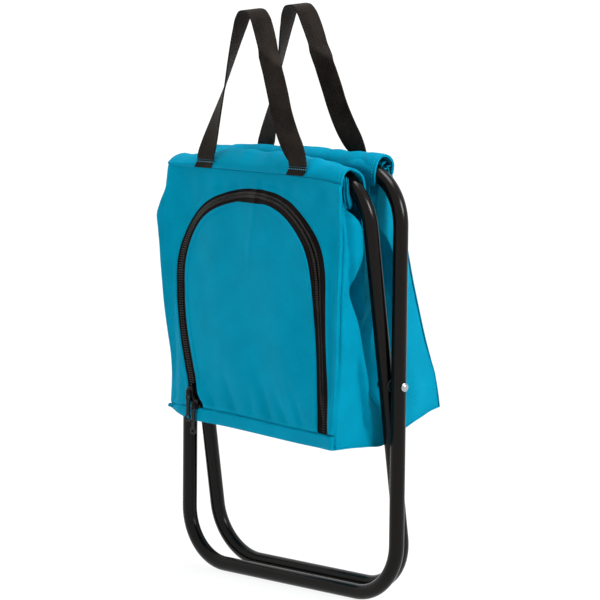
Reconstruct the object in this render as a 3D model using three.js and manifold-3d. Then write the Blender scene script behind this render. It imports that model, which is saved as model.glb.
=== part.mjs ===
import * as THREE from "three";
import { mergeVertices } from "three/addons/utils/BufferGeometryUtils.js";
import Module from "manifold-3d";

// Folding stool with a soft insulated bag under its seat, folded for storage.
// Millimetres. X runs along the top bars, -Y is the side with the zipped door, Z is up.
// The origin is on the floor, under the middle of the pivots.

const wasm = await Module();
wasm.setup();

// Frame
const tubeRadius = 8;
const tubeWall = 1;
const tubeSides = 16;
const tubeBoreSides = 12;
const outerWidth = 318;
const legGap = 2;
const innerWidth = outerWidth - 2 * (2 * tubeRadius + legGap);
const barReach = 225;
const cornerRadius = 58;
const cornerSteps = 8;
const buttGap = 0.4;
const foldedHalfAngle = THREE.MathUtils.degToRad(4.4);
const pivotHeight = barReach * Math.cos(foldedHalfAngle) + tubeRadius;
const barY = barReach * Math.sin(foldedHalfAngle);
const barZ = barReach * Math.cos(foldedHalfAngle);

// Pivots
const rivetShank = 2.5;
const rivetHole = 2.8;
const rivetHeadRadius = 4.7;
const rivetHeadHeight = 3;
const rivetTailRadius = 4.2;
const rivetTailHeight = 1.5;
const fitGap = 0.3;
const spacerRadius = 7;

// Bag, heights counted from the pivot
const bagSideGap = 2;
const bagHalfWidth = innerWidth / 2 - tubeRadius - bagSideGap;
const baseZ = -52;
const baseFront = 68;
const baseRear = 79;
const wallBelowBar = 7.2;
const wallBeyondBar = 3.1 * tubeRadius;
const wallTopZ = barZ - wallBelowBar;
const wallTopY = barY + wallBeyondBar;
const fabric = 1.2;
const foam = 4;
const bandHeight = 15;
const frontLean = Math.atan2(baseFront - wallTopY, wallTopZ - baseZ);
const frontLength = Math.hypot(baseFront - wallTopY, wallTopZ - baseZ);
const rearLean = Math.atan2(baseRear - wallTopY, wallTopZ - baseZ);
const rearLength = Math.hypot(baseRear - wallTopY, wallTopZ - baseZ);
const padHalf = bagHalfWidth - 6;
const padLess = 11;

// Seat
const openHalfAngle = THREE.MathUtils.degToRad(40);
const sleeveDrop = 17.5;
const seatSideGap = 9;
const seatHalfWidth = bagHalfWidth - seatSideGap;
const seatHalfLength = barReach * Math.sin(openHalfAngle) - 0.6;
const seatStart = sleeveDrop + 0.5;
const seatLift = tubeRadius + fitGap;
const seatThick = 1.4;
const seatMeetGap = 1;
const seatHang = Math.asin((barY - seatLift - seatThick - seatMeetGap / 2) / seatHalfLength);

// Gussets: the pleat stays below the hanging seat and its top below the frame's bends
const creaseDepth = 34;
const creaseLow = baseZ + 8;
const creaseHigh = barZ - seatHalfLength - 4;
const gussetTopZ = barZ - cornerRadius + 12;

// Sleeves
const sleeveHalfLength = bagHalfWidth - 1.5;
const sleeveWebHalf = innerWidth / 2 - cornerRadius + 5;
const sleeveBulge = 3.325 * tubeRadius;
const sleeveThick = 1.5;
const sleeveRunning = 0.7;

// Zip: an arch whose centre line stands zipHalfWidth to each side
const zipFromEdge = 28;
const zipBand = 16;
const zipHalfWidth = bagHalfWidth - zipFromEdge;
const archTopGap = 21.9;
const zipRiseLess = 5;
const zipStraight = frontLength - archTopGap - zipHalfWidth + zipRiseLess;
const zipSquareness = 2.3;
const archSteps = 20;
const doorHalfWidth = zipHalfWidth - zipBand / 2;
const archOpening = zipHalfWidth + zipBand / 2;
const toothGap = 1;
const toothWidth = 2.4;
const tapeReach = 11;
const leftFootInset = 16;
const kneeHeight = bandHeight + 11;
const upperSliderHeight = kneeHeight + 5;
const lowerSliderRun = 11.5;
const lowerSliderHeight = kneeHeight - lowerSliderRun * Math.SQRT1_2;
const doorTapeStart = upperSliderHeight + 10;
const pullHingeY = -4.9;
const trackTilt = Math.atan2(leftFootInset, zipStraight - bandHeight);

// Handles
const webbingWidth = 25;
const webbingThick = 1.6;
const handleHalfSpacing = 70;
const handleRise = 160;
const handleY = barY + sleeveBulge + 0.1 + webbingThick / 2;
const handleFold = barZ + 5.8;
const handleFootLow = wallTopZ + 1.2;
const handleFootGap = 0.5;

function surface(color, roughness, metalness) {
  return { color, roughness, metalness };
}

const blackCoat = surface(0x1c1a19, 0.32, 0.35);
const zincSteel = surface(0xc9cbcc, 0.28, 0.95);
const blackNylon = surface(0x1b1b1d, 0.6, 0);
const tealFabric = surface(0x0b8fb4, 0.78, 0);
const foilFoam = surface(0xc4c8cc, 0.42, 0.35);
const blackWebbing = surface(0x18181b, 0.85, 0);
const zipBlack = surface(0x151517, 0.8, 0);
const gunmetal = surface(0x2b2b2e, 0.35, 0.85);

function addMesh(parent, name, geometry, look) {
  const material = new THREE.MeshStandardMaterial(look);
  material.name = name;
  const mesh = new THREE.Mesh(geometry, material);
  mesh.name = name;
  parent.add(mesh);
  return mesh;
}

// Corners are snapped to a tenth of a micrometre, so that shared corners meet exactly.
function toManifold(source) {
  let geometry = source.clone();
  geometry.deleteAttribute("normal");
  geometry.deleteAttribute("uv");
  const corners = geometry.attributes.position.array;
  for (let i = 0; i < corners.length; i++) {
    corners[i] = Math.round(corners[i] * 1e4) / 1e4;
  }
  geometry = mergeVertices(geometry, 1e-4);
  return new wasm.Manifold(
    new wasm.Mesh({
      numProp: 3,
      vertProperties: new Float32Array(geometry.attributes.position.array),
      triVerts: new Uint32Array(geometry.index.array),
    })
  );
}

function fromManifold(solid) {
  const mesh = solid.getMesh();
  const geometry = new THREE.BufferGeometry();
  geometry.setAttribute("position", new THREE.BufferAttribute(new Float32Array(mesh.vertProperties), 3));
  geometry.setIndex(new THREE.BufferAttribute(new Uint32Array(mesh.triVerts), 1));
  geometry.computeVertexNormals();
  return geometry;
}

// A box given by its two far corners.
function block(low, high) {
  const size = high.map((value, index) => value - low[index]);
  const geometry = new THREE.BoxGeometry(size[0], size[1], size[2]);
  geometry.translate((low[0] + high[0]) / 2, (low[1] + high[1]) / 2, (low[2] + high[2]) / 2);
  return geometry;
}

// An outline with holes: the outline runs anticlockwise and every hole clockwise.
function shapeOf(outline, holes = []) {
  const turned = (points, clockwise) => {
    const corners = points.map(([a, b]) => new THREE.Vector2(a, b));
    return THREE.ShapeUtils.isClockWise(corners) === clockwise ? corners : corners.reverse();
  };
  const shape = new THREE.Shape(turned(outline, false));
  for (const hole of holes) {
    shape.holes.push(new THREE.Path(turned(hole, true)));
  }
  return shape;
}

// A flat outline in x and height, made into a plate that lies between two depths.
function plate(outline, nearY, farY, holes = []) {
  const shape = shapeOf(outline, holes);
  const geometry = new THREE.ExtrudeGeometry(shape, { depth: farY - nearY, bevelEnabled: false });
  geometry.rotateX(Math.PI / 2);
  geometry.translate(0, farY, 0);
  return geometry;
}

// A closed solid between two grids of points that face each other.
function sheetSolid(outer, inner) {
  const rows = outer.length;
  const columns = outer[0].length;
  const positions = [];
  const triangles = [];
  for (const grid of [outer, inner]) {
    for (const row of grid) {
      for (const point of row) {
        positions.push(...point);
      }
    }
  }
  const at = (side, row, column) => side * rows * columns + row * columns + column;
  const quad = (a, b, c, d) => triangles.push(a, b, c, a, c, d);
  for (let row = 0; row < rows - 1; row++) {
    for (let column = 0; column < columns - 1; column++) {
      quad(at(0, row, column), at(0, row, column + 1), at(0, row + 1, column + 1), at(0, row + 1, column));
      quad(at(1, row, column), at(1, row + 1, column), at(1, row + 1, column + 1), at(1, row, column + 1));
    }
  }
  for (let column = 0; column < columns - 1; column++) {
    const last = rows - 1;
    quad(at(1, 0, column), at(1, 0, column + 1), at(0, 0, column + 1), at(0, 0, column));
    quad(at(0, last, column), at(0, last, column + 1), at(1, last, column + 1), at(1, last, column));
  }
  for (let row = 0; row < rows - 1; row++) {
    const last = columns - 1;
    quad(at(0, row, 0), at(0, row + 1, 0), at(1, row + 1, 0), at(1, row, 0));
    quad(at(1, row, last), at(1, row + 1, last), at(0, row + 1, last), at(0, row, last));
  }
  const geometry = new THREE.BufferGeometry();
  geometry.setAttribute("position", new THREE.Float32BufferAttribute(positions, 3));
  geometry.setIndex(triangles);
  return outward(geometry);
}

// Turns a closed solid's triangles round when they face inwards.
function outward(geometry) {
  const position = geometry.attributes.position;
  const index = geometry.index.array;
  const a = new THREE.Vector3();
  const b = new THREE.Vector3();
  const c = new THREE.Vector3();
  let volume = 0;
  for (let i = 0; i < index.length; i += 3) {
    a.fromBufferAttribute(position, index[i]);
    b.fromBufferAttribute(position, index[i + 1]);
    c.fromBufferAttribute(position, index[i + 2]);
    volume += a.dot(b.cross(c));
  }
  if (volume < 0) {
    for (let i = 0; i < index.length; i += 3) {
      const swap = index[i + 1];
      index[i + 1] = index[i + 2];
      index[i + 2] = swap;
    }
  }
  geometry.computeVertexNormals();
  return geometry;
}

// The centre line of a frame loop, from one side of the butt joint in the top bar to the other.
class LoopPath extends THREE.Curve {
  constructor(width, reach, radius) {
    super();
    const side = width / 2 - radius;
    const rise = reach - radius;
    const corners = [
      [side, rise, Math.PI / 2],
      [side, -rise, 0],
      [-side, -rise, -Math.PI / 2],
      [-side, rise, -Math.PI],
    ];
    this.stations = [{ x: buttGap / 2, z: reach, tx: 1, tz: 0 }];
    for (const [x, z, start] of corners) {
      for (let step = 0; step <= cornerSteps; step++) {
        const angle = start - (step / cornerSteps) * (Math.PI / 2);
        this.stations.push({
          x: x + radius * Math.cos(angle),
          z: z + radius * Math.sin(angle),
          tx: Math.sin(angle),
          tz: -Math.cos(angle),
        });
      }
    }
    this.stations.push({ x: -buttGap / 2, z: reach, tx: 1, tz: 0 });
  }

  getUtoTmapping(u) {
    return u;
  }

  getPoint(t, target = new THREE.Vector3()) {
    const place = t * (this.stations.length - 1);
    const low = Math.min(Math.floor(place), this.stations.length - 2);
    const part = place - low;
    const a = this.stations[low];
    const b = this.stations[low + 1];
    return target.set(a.x + (b.x - a.x) * part, 0, a.z + (b.z - a.z) * part);
  }

  getTangent(t, target = new THREE.Vector3()) {
    const station = this.stations[Math.round(t * (this.stations.length - 1))];
    return target.set(station.tx, 0, station.tz);
  }
}

// A bent tube with one flat of its outside facing straight down once the frame leans.
function frameTube(width, lean) {
  const path = new LoopPath(width, barReach, cornerRadius);
  const ring = (radius, sides) => {
    const points = [];
    for (let side = 0; side < sides; side++) {
      const angle = lean + ((side + 0.5) * 2 * Math.PI) / sides;
      const corner = radius / Math.cos(Math.PI / sides);
      points.push([corner * Math.cos(angle), corner * Math.sin(angle)]);
    }
    return points;
  };
  const section = shapeOf(ring(tubeRadius, tubeSides), [ring(tubeRadius - tubeWall, tubeBoreSides)]);
  const tube = new THREE.ExtrudeGeometry(section, {
    steps: path.stations.length - 1,
    extrudePath: path,
    bevelEnabled: false,
  });
  const drill = new THREE.CylinderGeometry(rivetHole, rivetHole, 4 * tubeRadius, 16);
  drill.rotateZ(Math.PI / 2);
  let solid = toManifold(tube);
  for (const side of [-1, 1]) {
    const cutter = drill.clone();
    cutter.translate((side * width) / 2, 0, 0);
    solid = solid.subtract(toManifold(cutter));
  }
  return fromManifold(solid);
}

// The rivet's outline turned about the pivot axis: domed head, shank, flat formed tail.
function rivetGeometry(side) {
  const head = outerWidth / 2 + tubeRadius + fitGap;
  const tail = innerWidth / 2 - tubeRadius - fitGap;
  const profile = [new THREE.Vector2(0, tail - rivetTailHeight)];
  profile.push(new THREE.Vector2(rivetTailRadius, tail - rivetTailHeight));
  profile.push(new THREE.Vector2(rivetTailRadius, tail));
  profile.push(new THREE.Vector2(rivetShank, tail));
  profile.push(new THREE.Vector2(rivetShank, head));
  for (let step = 0; step < 5; step++) {
    const angle = (step / 5) * (Math.PI / 2);
    profile.push(new THREE.Vector2(rivetHeadRadius * Math.cos(angle), head + rivetHeadHeight * Math.sin(angle)));
  }
  profile.push(new THREE.Vector2(0, head + rivetHeadHeight));
  const geometry = new THREE.LatheGeometry(profile, 20);
  geometry.rotateZ((-side * Math.PI) / 2);
  return fromManifold(toManifold(geometry));
}

function spacerGeometry(side) {
  const low = innerWidth / 2 + tubeRadius + fitGap;
  const high = outerWidth / 2 - tubeRadius - fitGap;
  const profile = [
    new THREE.Vector2(rivetHole, low),
    new THREE.Vector2(spacerRadius, low),
    new THREE.Vector2(spacerRadius, high),
    new THREE.Vector2(rivetHole, high),
    new THREE.Vector2(rivetHole, low),
  ];
  const geometry = new THREE.LatheGeometry(profile, 24);
  geometry.rotateZ((-side * Math.PI) / 2);
  return fromManifold(toManifold(geometry));
}

// The zip's left leg leans in towards its foot, and below the knee it runs in at 45 degrees.
function legX(height) {
  return -zipHalfWidth + (zipStraight - height) * Math.tan(trackTilt);
}

// The zip's arch, offset from its centre line, from the right foot over the top to the left one.
function arch(halfWidth, rightFoot, leftFoot) {
  const offset = halfWidth - zipHalfWidth;
  const knee = kneeHeight - (offset * (Math.SQRT2 - 1)) / (1 - Math.tan(trackTilt));
  const rise = halfWidth - zipRiseLess;
  const points = [[halfWidth, rightFoot]];
  for (let step = 0; step <= archSteps; step++) {
    const angle = (step / archSteps) * Math.PI;
    const c = Math.cos(angle);
    const s = Math.sin(angle);
    const power = 2 / zipSquareness;
    points.push([
      halfWidth * Math.sign(c) * Math.abs(c) ** power,
      zipStraight + rise * Math.max(s, 0) ** power,
    ]);
  }
  if (leftFoot >= knee) {
    points.push([legX(leftFoot) - offset, leftFoot]);
    return points;
  }
  points.push([legX(knee) - offset, knee]);
  points.push([legX(knee) - offset + knee - leftFoot, leftFoot]);
  return points;
}

function archBand(inside, outside, rightFoot, leftFoot) {
  return [...arch(outside, rightFoot, leftFoot), ...arch(inside, rightFoot, leftFoot).reverse()];
}

// The loose tube of fabric that a top bar runs through. Its lower web and inner side stop
// short of both ends, where the bar bends down and leaves it.
function sleeveGeometry(side) {
  const innerY = -tubeRadius - sleeveRunning;
  const seam = -sleeveDrop;
  const lip = -wallBelowBar;
  const r = tubeRadius;
  const outline = [
    [2.79 * r, seam],
    [2.79 * r, lip],
    [3.25 * r, lip + 0.01 * r],
    [sleeveBulge, -0.15 * r],
    [2.91 * r, 0.91 * r],
    [1.975 * r, 1.625 * r],
    [0.85 * r, 1.925 * r],
    [-0.15 * r, 1.84 * r],
    [-0.85 * r, 1.375 * r],
    [innerY - sleeveThick, 0.475 * r],
    [innerY - sleeveThick, seam + 0.75 * r],
    [innerY + 0.06 * r, seam],
  ];
  const inside = [
    [2.6 * r, seam + sleeveThick],
    [2.6 * r, lip + sleeveThick],
    [3.075 * r, lip + 0.25 * r],
    [sleeveBulge - sleeveThick, -0.15 * r],
    [2.76 * r, 0.79 * r],
    [1.89 * r, 1.45 * r],
    [0.84 * r, 1.725 * r],
    [-0.06 * r, 1.64 * r],
    [-0.71 * r, 1.225 * r],
    [innerY, 0.425 * r],
    [innerY, seam + 0.8 * r],
    [innerY + 0.15 * r, seam + sleeveThick],
  ];
  const sided = (points) => points.map(([y, z]) => [side * (barY + y), barZ + z]);
  const shape = shapeOf(sided(outline), [sided(inside)]);
  const geometry = new THREE.ExtrudeGeometry(shape, { depth: 2 * sleeveHalfLength, bevelEnabled: false });
  geometry.translate(0, 0, -sleeveHalfLength);
  geometry.rotateY(Math.PI / 2);
  geometry.rotateX(Math.PI / 2);
  let solid = toManifold(geometry);
  const cuts = [
    [barY + 2.625 * r, barZ - 1.275 * r],
    [barY + innerY + 0.25 * r, barZ + 0.6 * r],
  ];
  for (const end of [-1, 1]) {
    for (const [farY, top] of cuts) {
      const low = [end > 0 ? sleeveWebHalf : -outerWidth, side > 0 ? 0 : -farY, barZ - 2 * sleeveDrop];
      const high = [end > 0 ? outerWidth : -sleeveWebHalf, side > 0 ? farY : 0, top];
      solid = solid.subtract(toManifold(block(low, high)));
    }
  }
  return fromManifold(solid);
}

// One half of a side gusset: from the wall's edge in to the crease in the middle.
function gussetGeometry(side, wall) {
  const outer = [];
  const inner = [];
  const rows = 12;
  const columns = 6;
  for (let row = 0; row <= rows; row++) {
    const v = row / rows;
    const z = baseZ + 2.2 + v * (gussetTopZ - baseZ - 2.2);
    const foot = wall < 0 ? baseFront : baseRear;
    const lean = wall < 0 ? frontLean : rearLean;
    const edgeY = foot - (z - baseZ) * Math.tan(lean) - 0.6;
    const rise = THREE.MathUtils.clamp((z - creaseLow) / (creaseHigh - creaseLow), 0, 1);
    const depth = 2.5 + creaseDepth * Math.sin(Math.PI * rise);
    const outerRow = [];
    const innerRow = [];
    for (let column = 0; column <= columns; column++) {
      const u = column / columns;
      const ease = u * u * (3 - 2 * u);
      const x = bagHalfWidth - 0.3 - depth * ease;
      const y = edgeY + (0.6 - edgeY) * u;
      outerRow.push([side * x, wall * y, z]);
      innerRow.push([side * (x - fabric), wall * y, z]);
    }
    outer.push(outerRow);
    inner.push(innerRow);
  }
  return sheetSolid(outer, inner);
}

// Webbing loop of a handle: flat to the wall at its feet, turned edge to edge at the top.
function handleGeometry(side) {
  const half = [
    [1, 0, 0],
    [0.965, 0.08, 0.02],
    [0.88, 0.2, 0.12],
    [0.757, 0.35, 0.34],
    [0.629, 0.51, 0.62],
    [0.5, 0.675, 0.86],
    [0.386, 0.81, 0.97],
    [0.271, 0.91, 1],
    [0.143, 0.978, 1],
  ];
  const shares = [...half, [0, 1, 1], ...half.map(([x, z, turn]) => [-x, z, turn]).reverse()];
  const stations = shares.map(([x, z, turn]) => [x * handleHalfSpacing, handleFold + z * handleRise, turn]);
  const rings = stations.map(([x, z, turn], index) => {
    const before = stations[Math.max(index - 1, 0)];
    const after = stations[Math.min(index + 1, stations.length - 1)];
    const along = new THREE.Vector3(after[0] - before[0], 0, after[1] - before[1]).normalize();
    if (index === 0 || index === stations.length - 1) {
      along.set(0, 0, index === 0 ? 1 : -1);
    }
    const across = new THREE.Vector3(0, 1, 0).cross(along);
    const angle = (turn * Math.PI) / 2;
    const sense = x < 0 ? -1 : 1;
    const wide = across.clone().multiplyScalar(Math.cos(angle));
    wide.add(new THREE.Vector3(0, sense * Math.sin(angle), 0));
    return { centre: new THREE.Vector3(x, side * handleY, z), along, wide };
  });
  for (let index = 1; index < rings.length; index++) {
    if (rings[index].wide.dot(rings[index - 1].wide) < 0) {
      rings[index].wide.negate();
    }
  }
  const outer = [];
  const inner = [];
  for (const { centre, along, wide } of rings) {
    const thick = along.clone().cross(wide).normalize().multiplyScalar(webbingThick / 2);
    const reach = wide.clone().multiplyScalar(webbingWidth / 2);
    const row = [];
    const backRow = [];
    for (const w of [-1, 1]) {
      const edge = centre.clone().addScaledVector(reach, w);
      row.push(edge.clone().add(thick).toArray());
      backRow.push(edge.clone().sub(thick).toArray());
    }
    outer.push(row);
    inner.push(backRow);
  }
  return sheetSolid(outer, inner);
}

// Slider: front plate, back plate, the wedge that joins them and a bail for the pull.
function sliderGeometry(wedgeTurn) {
  const bailOutline = [
    [-2.8, 2.6],
    [2.8, 2.6],
    [2.8, 6.5],
    [1.8, 7.5],
    [-1.8, 7.5],
    [-2.8, 6.5],
  ];
  const bailHole = [
    [-1.5, 3.5],
    [-1.5, 6.3],
    [1.5, 6.3],
    [1.5, 3.5],
  ];
  const bail = shapeOf(bailOutline, [bailHole]);
  const bailGeometry = new THREE.ExtrudeGeometry(bail, { depth: 1.8, bevelEnabled: false });
  bailGeometry.translate(0, 0, -0.9);
  bailGeometry.rotateY(Math.PI / 2);
  bailGeometry.rotateX(Math.PI / 2);
  bailGeometry.rotateX(Math.PI / 2);
  const outline = [
    [-3.3, -5.5],
    [3.3, -5.5],
    [4.7, -2.6],
    [4.7, 3.6],
    [2.6, 5.5],
    [-2.6, 5.5],
    [-4.7, 3.6],
    [-4.7, -2.6],
  ];
  let solid = toManifold(plate(outline, -3, -1.8));
  solid = solid.add(toManifold(plate(outline, 1.4, 2.4)));
  const wedge = block([-0.65, -2.6, 0.6], [0.65, 2, 4.4]);
  wedge.rotateY(-wedgeTurn);
  solid = solid.add(toManifold(wedge));
  solid = solid.add(toManifold(bailGeometry));
  return fromManifold(solid);
}

// Pull: a flat link that hangs from the bail and ends in a ring.
function pullGeometry() {
  const ringCentre = -28;
  const ringRadius = 4.2;
  const outline = [
    [-3.2, 0.9],
    [-3.4, -7.5],
    [-2.2, -10],
  ];
  const start = Math.PI / 2 + 0.54;
  const sweep = 2 * Math.PI - 1.08;
  for (let step = 0; step <= 16; step++) {
    const angle = start + (step / 16) * sweep;
    outline.push([ringRadius * Math.cos(angle), ringCentre + ringRadius * Math.sin(angle)]);
  }
  outline.push([2.2, -10], [3.4, -7.5], [3.2, 0.9]);
  const eye = [
    [-1.6, -6.6],
    [1.6, -6.6],
    [1.6, -0.9],
    [-1.6, -0.9],
  ];
  const ring = [];
  for (let step = 0; step < 14; step++) {
    const angle = (step / 14) * 2 * Math.PI;
    ring.push([2.5 * Math.cos(angle), ringCentre + 2.5 * Math.sin(angle)]);
  }
  return plate(outline, -0.7, 0.7, [eye, ring]);
}

const stool = new THREE.Group();
stool.name = "folding_stool_with_bag";
const pivot = new THREE.Group();
pivot.position.z = pivotHeight;
stool.add(pivot);

// Frames. The outer one has its top bar at the back, the inner one at the front.
const outerFrame = new THREE.Group();
outerFrame.rotation.x = -foldedHalfAngle;
addMesh(outerFrame, "outer_frame_tube", frameTube(outerWidth, -foldedHalfAngle), blackCoat);
const innerFrame = new THREE.Group();
innerFrame.rotation.x = foldedHalfAngle;
addMesh(innerFrame, "inner_frame_tube", frameTube(innerWidth, foldedHalfAngle), blackCoat);
pivot.add(outerFrame, innerFrame);
addMesh(pivot, "rivet_left", rivetGeometry(-1), zincSteel);
addMesh(pivot, "rivet_right", rivetGeometry(1), zincSteel);
addMesh(pivot, "spacer_left", spacerGeometry(-1), blackNylon);
addMesh(pivot, "spacer_right", spacerGeometry(1), blackNylon);

// Base of the bag
const baseLow = [-bagHalfWidth, -baseFront + 0.6, baseZ];
const baseHigh = [bagHalfWidth, baseRear - 0.6, baseZ + fabric + 0.2];
addMesh(pivot, "base_panel", block(baseLow, baseHigh), tealFabric);
const padLow = [-bagHalfWidth + 9, -baseFront + 8, baseZ + fabric + 0.5];
const padHigh = [bagHalfWidth - 9, baseRear - 8, baseZ + fabric + 0.5 + foam];
addMesh(pivot, "base_insulation", block(padLow, padHigh), foilFoam);
for (const [sideName, side] of [["left", -1], ["right", 1]]) {
  for (const [wallName, wall] of [["front", -1], ["rear", 1]]) {
    addMesh(pivot, `gusset_${sideName}_${wallName}`, gussetGeometry(side, wall), tealFabric);
  }
}

// Front wall, with the opening that the door fills
const frontWall = new THREE.Group();
frontWall.position.set(0, -baseFront, baseZ);
frontWall.rotation.x = -frontLean;
pivot.add(frontWall);
const bandOutline = [
  [-bagHalfWidth, 0.4],
  [bagHalfWidth, 0.4],
  [bagHalfWidth, bandHeight - 0.3],
  [-bagHalfWidth, bandHeight - 0.3],
];
addMesh(frontWall, "bottom_band", plate(bandOutline, -fabric - 0.4, 0), tealFabric);
const surround = [
  [-bagHalfWidth, bandHeight],
  ...arch(archOpening, bandHeight, bandHeight).reverse(),
  [bagHalfWidth, bandHeight],
  [bagHalfWidth, frontLength - 0.3],
  [-bagHalfWidth, frontLength - 0.3],
];
addMesh(frontWall, "front_panel", plate(surround, -fabric, 0), tealFabric);
const surroundPad = [
  [-padHalf, bandHeight],
  ...arch(archOpening - 1, bandHeight, bandHeight).reverse(),
  [padHalf, bandHeight],
  [padHalf, frontLength - padLess],
  [-padHalf, frontLength - padLess],
];
addMesh(frontWall, "front_insulation", plate(surroundPad, 1.5, 1.5 + foam), foilFoam);
const frameSide = zipHalfWidth + toothGap;
const doorSide = zipHalfWidth - toothGap;
const frameTape = archBand(frameSide, frameSide + tapeReach - 1, bandHeight + 0.3, bandHeight + 0.3);
addMesh(frontWall, "zip_tape_frame", plate(frameTape, 0.35, 1.05), zipBlack);
const frameCoil = archBand(frameSide, frameSide + toothWidth, bandHeight + 0.3, bandHeight + 0.3);
addMesh(frontWall, "zip_coil_frame", plate(frameCoil, -1.5, 0.05), zipBlack);

// Door: hinged along the seam above the bottom band
const doorOutline = arch(doorHalfWidth, bandHeight + 0.3, bandHeight + 0.3);
addMesh(frontWall, "door_flap", plate(doorOutline, -fabric, 0), tealFabric);
const doorPad = arch(doorHalfWidth - 4, bandHeight + 3, bandHeight + 3);
addMesh(frontWall, "door_insulation", plate(doorPad, 0.4, 0.4 + foam), foilFoam);
const doorTape = archBand(doorSide - tapeReach + 1, doorSide, bandHeight + 0.3, doorTapeStart);
addMesh(frontWall, "zip_tape_door", plate(doorTape, 0.35, 1.05), zipBlack);
const doorCoil = archBand(doorSide - toothWidth, doorSide, bandHeight + 0.9, doorTapeStart);
addMesh(frontWall, "zip_coil_door", plate(doorCoil, -1.5, 0.05), zipBlack);

// Two sliders near the left foot of the zip, one above the knee and one below. Pulls hang plumb.
const lowerSliderX = legX(kneeHeight) + lowerSliderRun * Math.SQRT1_2;
for (const [name, x, height, wedgeTurn] of [
  ["upper", legX(upperSliderHeight), upperSliderHeight, 0],
  ["lower", lowerSliderX, lowerSliderHeight, Math.PI / 4 - trackTilt],
]) {
  const slider = new THREE.Group();
  slider.position.set(x, 0, height);
  slider.rotation.y = -trackTilt;
  addMesh(slider, `zip_slider_${name}`, sliderGeometry(wedgeTurn), gunmetal);
  const pull = new THREE.Group();
  pull.position.set(0, pullHingeY, 0);
  pull.rotation.y = trackTilt;
  addMesh(pull, `zip_pull_${name}`, pullGeometry(), gunmetal);
  slider.add(pull);
  frontWall.add(slider);
}

// Rear wall: one plain panel
const rearWall = new THREE.Group();
rearWall.position.set(0, baseRear, baseZ);
rearWall.rotation.x = rearLean;
pivot.add(rearWall);
const rearOutline = [
  [-bagHalfWidth, 0.4],
  [bagHalfWidth, 0.4],
  [bagHalfWidth, rearLength - 0.3],
  [-bagHalfWidth, rearLength - 0.3],
];
addMesh(rearWall, "rear_panel", plate(rearOutline, 0, fabric), tealFabric);
const rearPad = [
  [-padHalf, bandHeight],
  [padHalf, bandHeight],
  [padHalf, rearLength - padLess],
  [-padHalf, rearLength - padLess],
];
addMesh(rearWall, "rear_insulation", plate(rearPad, -0.4 - foam, -0.4), foilFoam);

// Sleeves, seat halves and handles, front and rear
for (const [name, side] of [["front", -1], ["rear", 1]]) {
  addMesh(pivot, `${name}_sleeve`, sleeveGeometry(side), tealFabric);
  const seat = new THREE.Group();
  seat.position.set(0, side * barY, barZ);
  seat.rotation.x = -side * seatHang;
  const outline = [
    [-seatHalfWidth, -seatHalfLength],
    [seatHalfWidth, -seatHalfLength],
    [seatHalfWidth, -seatStart],
    [-seatHalfWidth, -seatStart],
  ];
  const near = -side * seatLift;
  const far = -side * (seatLift + seatThick);
  addMesh(seat, `seat_${name}`, plate(outline, Math.min(near, far), Math.max(near, far)), tealFabric);
  pivot.add(seat);
  addMesh(pivot, `${name}_handle`, handleGeometry(side), blackWebbing);
  for (const [footName, foot] of [["left", -1], ["right", 1]]) {
    const low = [foot * handleHalfSpacing - webbingWidth / 2, side * handleY - webbingThick / 2, handleFootLow];
    const high = [foot * handleHalfSpacing + webbingWidth / 2, side * handleY + webbingThick / 2, handleFold - handleFootGap];
    addMesh(pivot, `${name}_handle_foot_${footName}`, block(low, high), blackWebbing);
  }
}

export default stool;
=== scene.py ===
import math

import bmesh
import bpy
import numpy as np
from mathutils import Matrix, Vector


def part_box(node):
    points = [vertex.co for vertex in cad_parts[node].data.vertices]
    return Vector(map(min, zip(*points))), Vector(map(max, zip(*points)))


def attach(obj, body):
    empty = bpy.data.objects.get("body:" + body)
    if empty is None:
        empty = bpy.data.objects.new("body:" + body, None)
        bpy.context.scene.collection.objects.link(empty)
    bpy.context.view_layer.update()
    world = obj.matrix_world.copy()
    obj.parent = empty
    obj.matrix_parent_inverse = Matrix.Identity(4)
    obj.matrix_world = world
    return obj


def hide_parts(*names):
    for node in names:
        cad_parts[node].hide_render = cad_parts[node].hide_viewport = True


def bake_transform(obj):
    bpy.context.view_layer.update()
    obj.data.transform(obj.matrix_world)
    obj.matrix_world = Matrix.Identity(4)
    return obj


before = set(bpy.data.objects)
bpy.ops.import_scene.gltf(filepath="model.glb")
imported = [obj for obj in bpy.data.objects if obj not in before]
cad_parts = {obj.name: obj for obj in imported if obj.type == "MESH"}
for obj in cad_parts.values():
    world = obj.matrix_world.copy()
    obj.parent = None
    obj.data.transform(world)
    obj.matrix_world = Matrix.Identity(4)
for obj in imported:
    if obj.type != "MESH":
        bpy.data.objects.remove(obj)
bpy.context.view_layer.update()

rivetLow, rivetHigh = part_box("rivet_left")
pivotHeight = (rivetLow.z + rivetHigh.z) * 500  # mm above the floor; shapes below count from the pivot, in mm
walls = (("front", -1), ("rear", 1))


def toRow(points):  # from mm about the pivot to metres above the floor
    return (np.asarray(points, float) + [0, 0, pivotHeight]) / 1000


def rowPoint(x, y, z):
    return tuple(toRow([x, y, z]))


def smooth(low, high, value):
    t = np.clip((np.asarray(value, float) - low) / (high - low), 0, 1)
    return t * t * (3 - 2 * t)


def hump(value, width):
    return np.exp(-((np.asarray(value, float) / width) ** 2))


def through(value, places, levels):  # a smooth curve through a few levels
    places, levels = np.asarray(places, float), np.asarray(levels, float)
    slopes = np.gradient(levels, places)
    value = np.clip(value, places[0], places[-1])
    i = np.clip(np.searchsorted(places, value) - 1, 0, len(places) - 2)
    span = places[i + 1] - places[i]
    t = (value - places[i]) / span
    a, b = 2 * t**3 - 3 * t**2 + 1, t**3 - 2 * t**2 + t
    c, d = -2 * t**3 + 3 * t**2, t**3 - t**2
    return a * levels[i] + b * span * slopes[i] + c * levels[i + 1] + d * span * slopes[i + 1]


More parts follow.
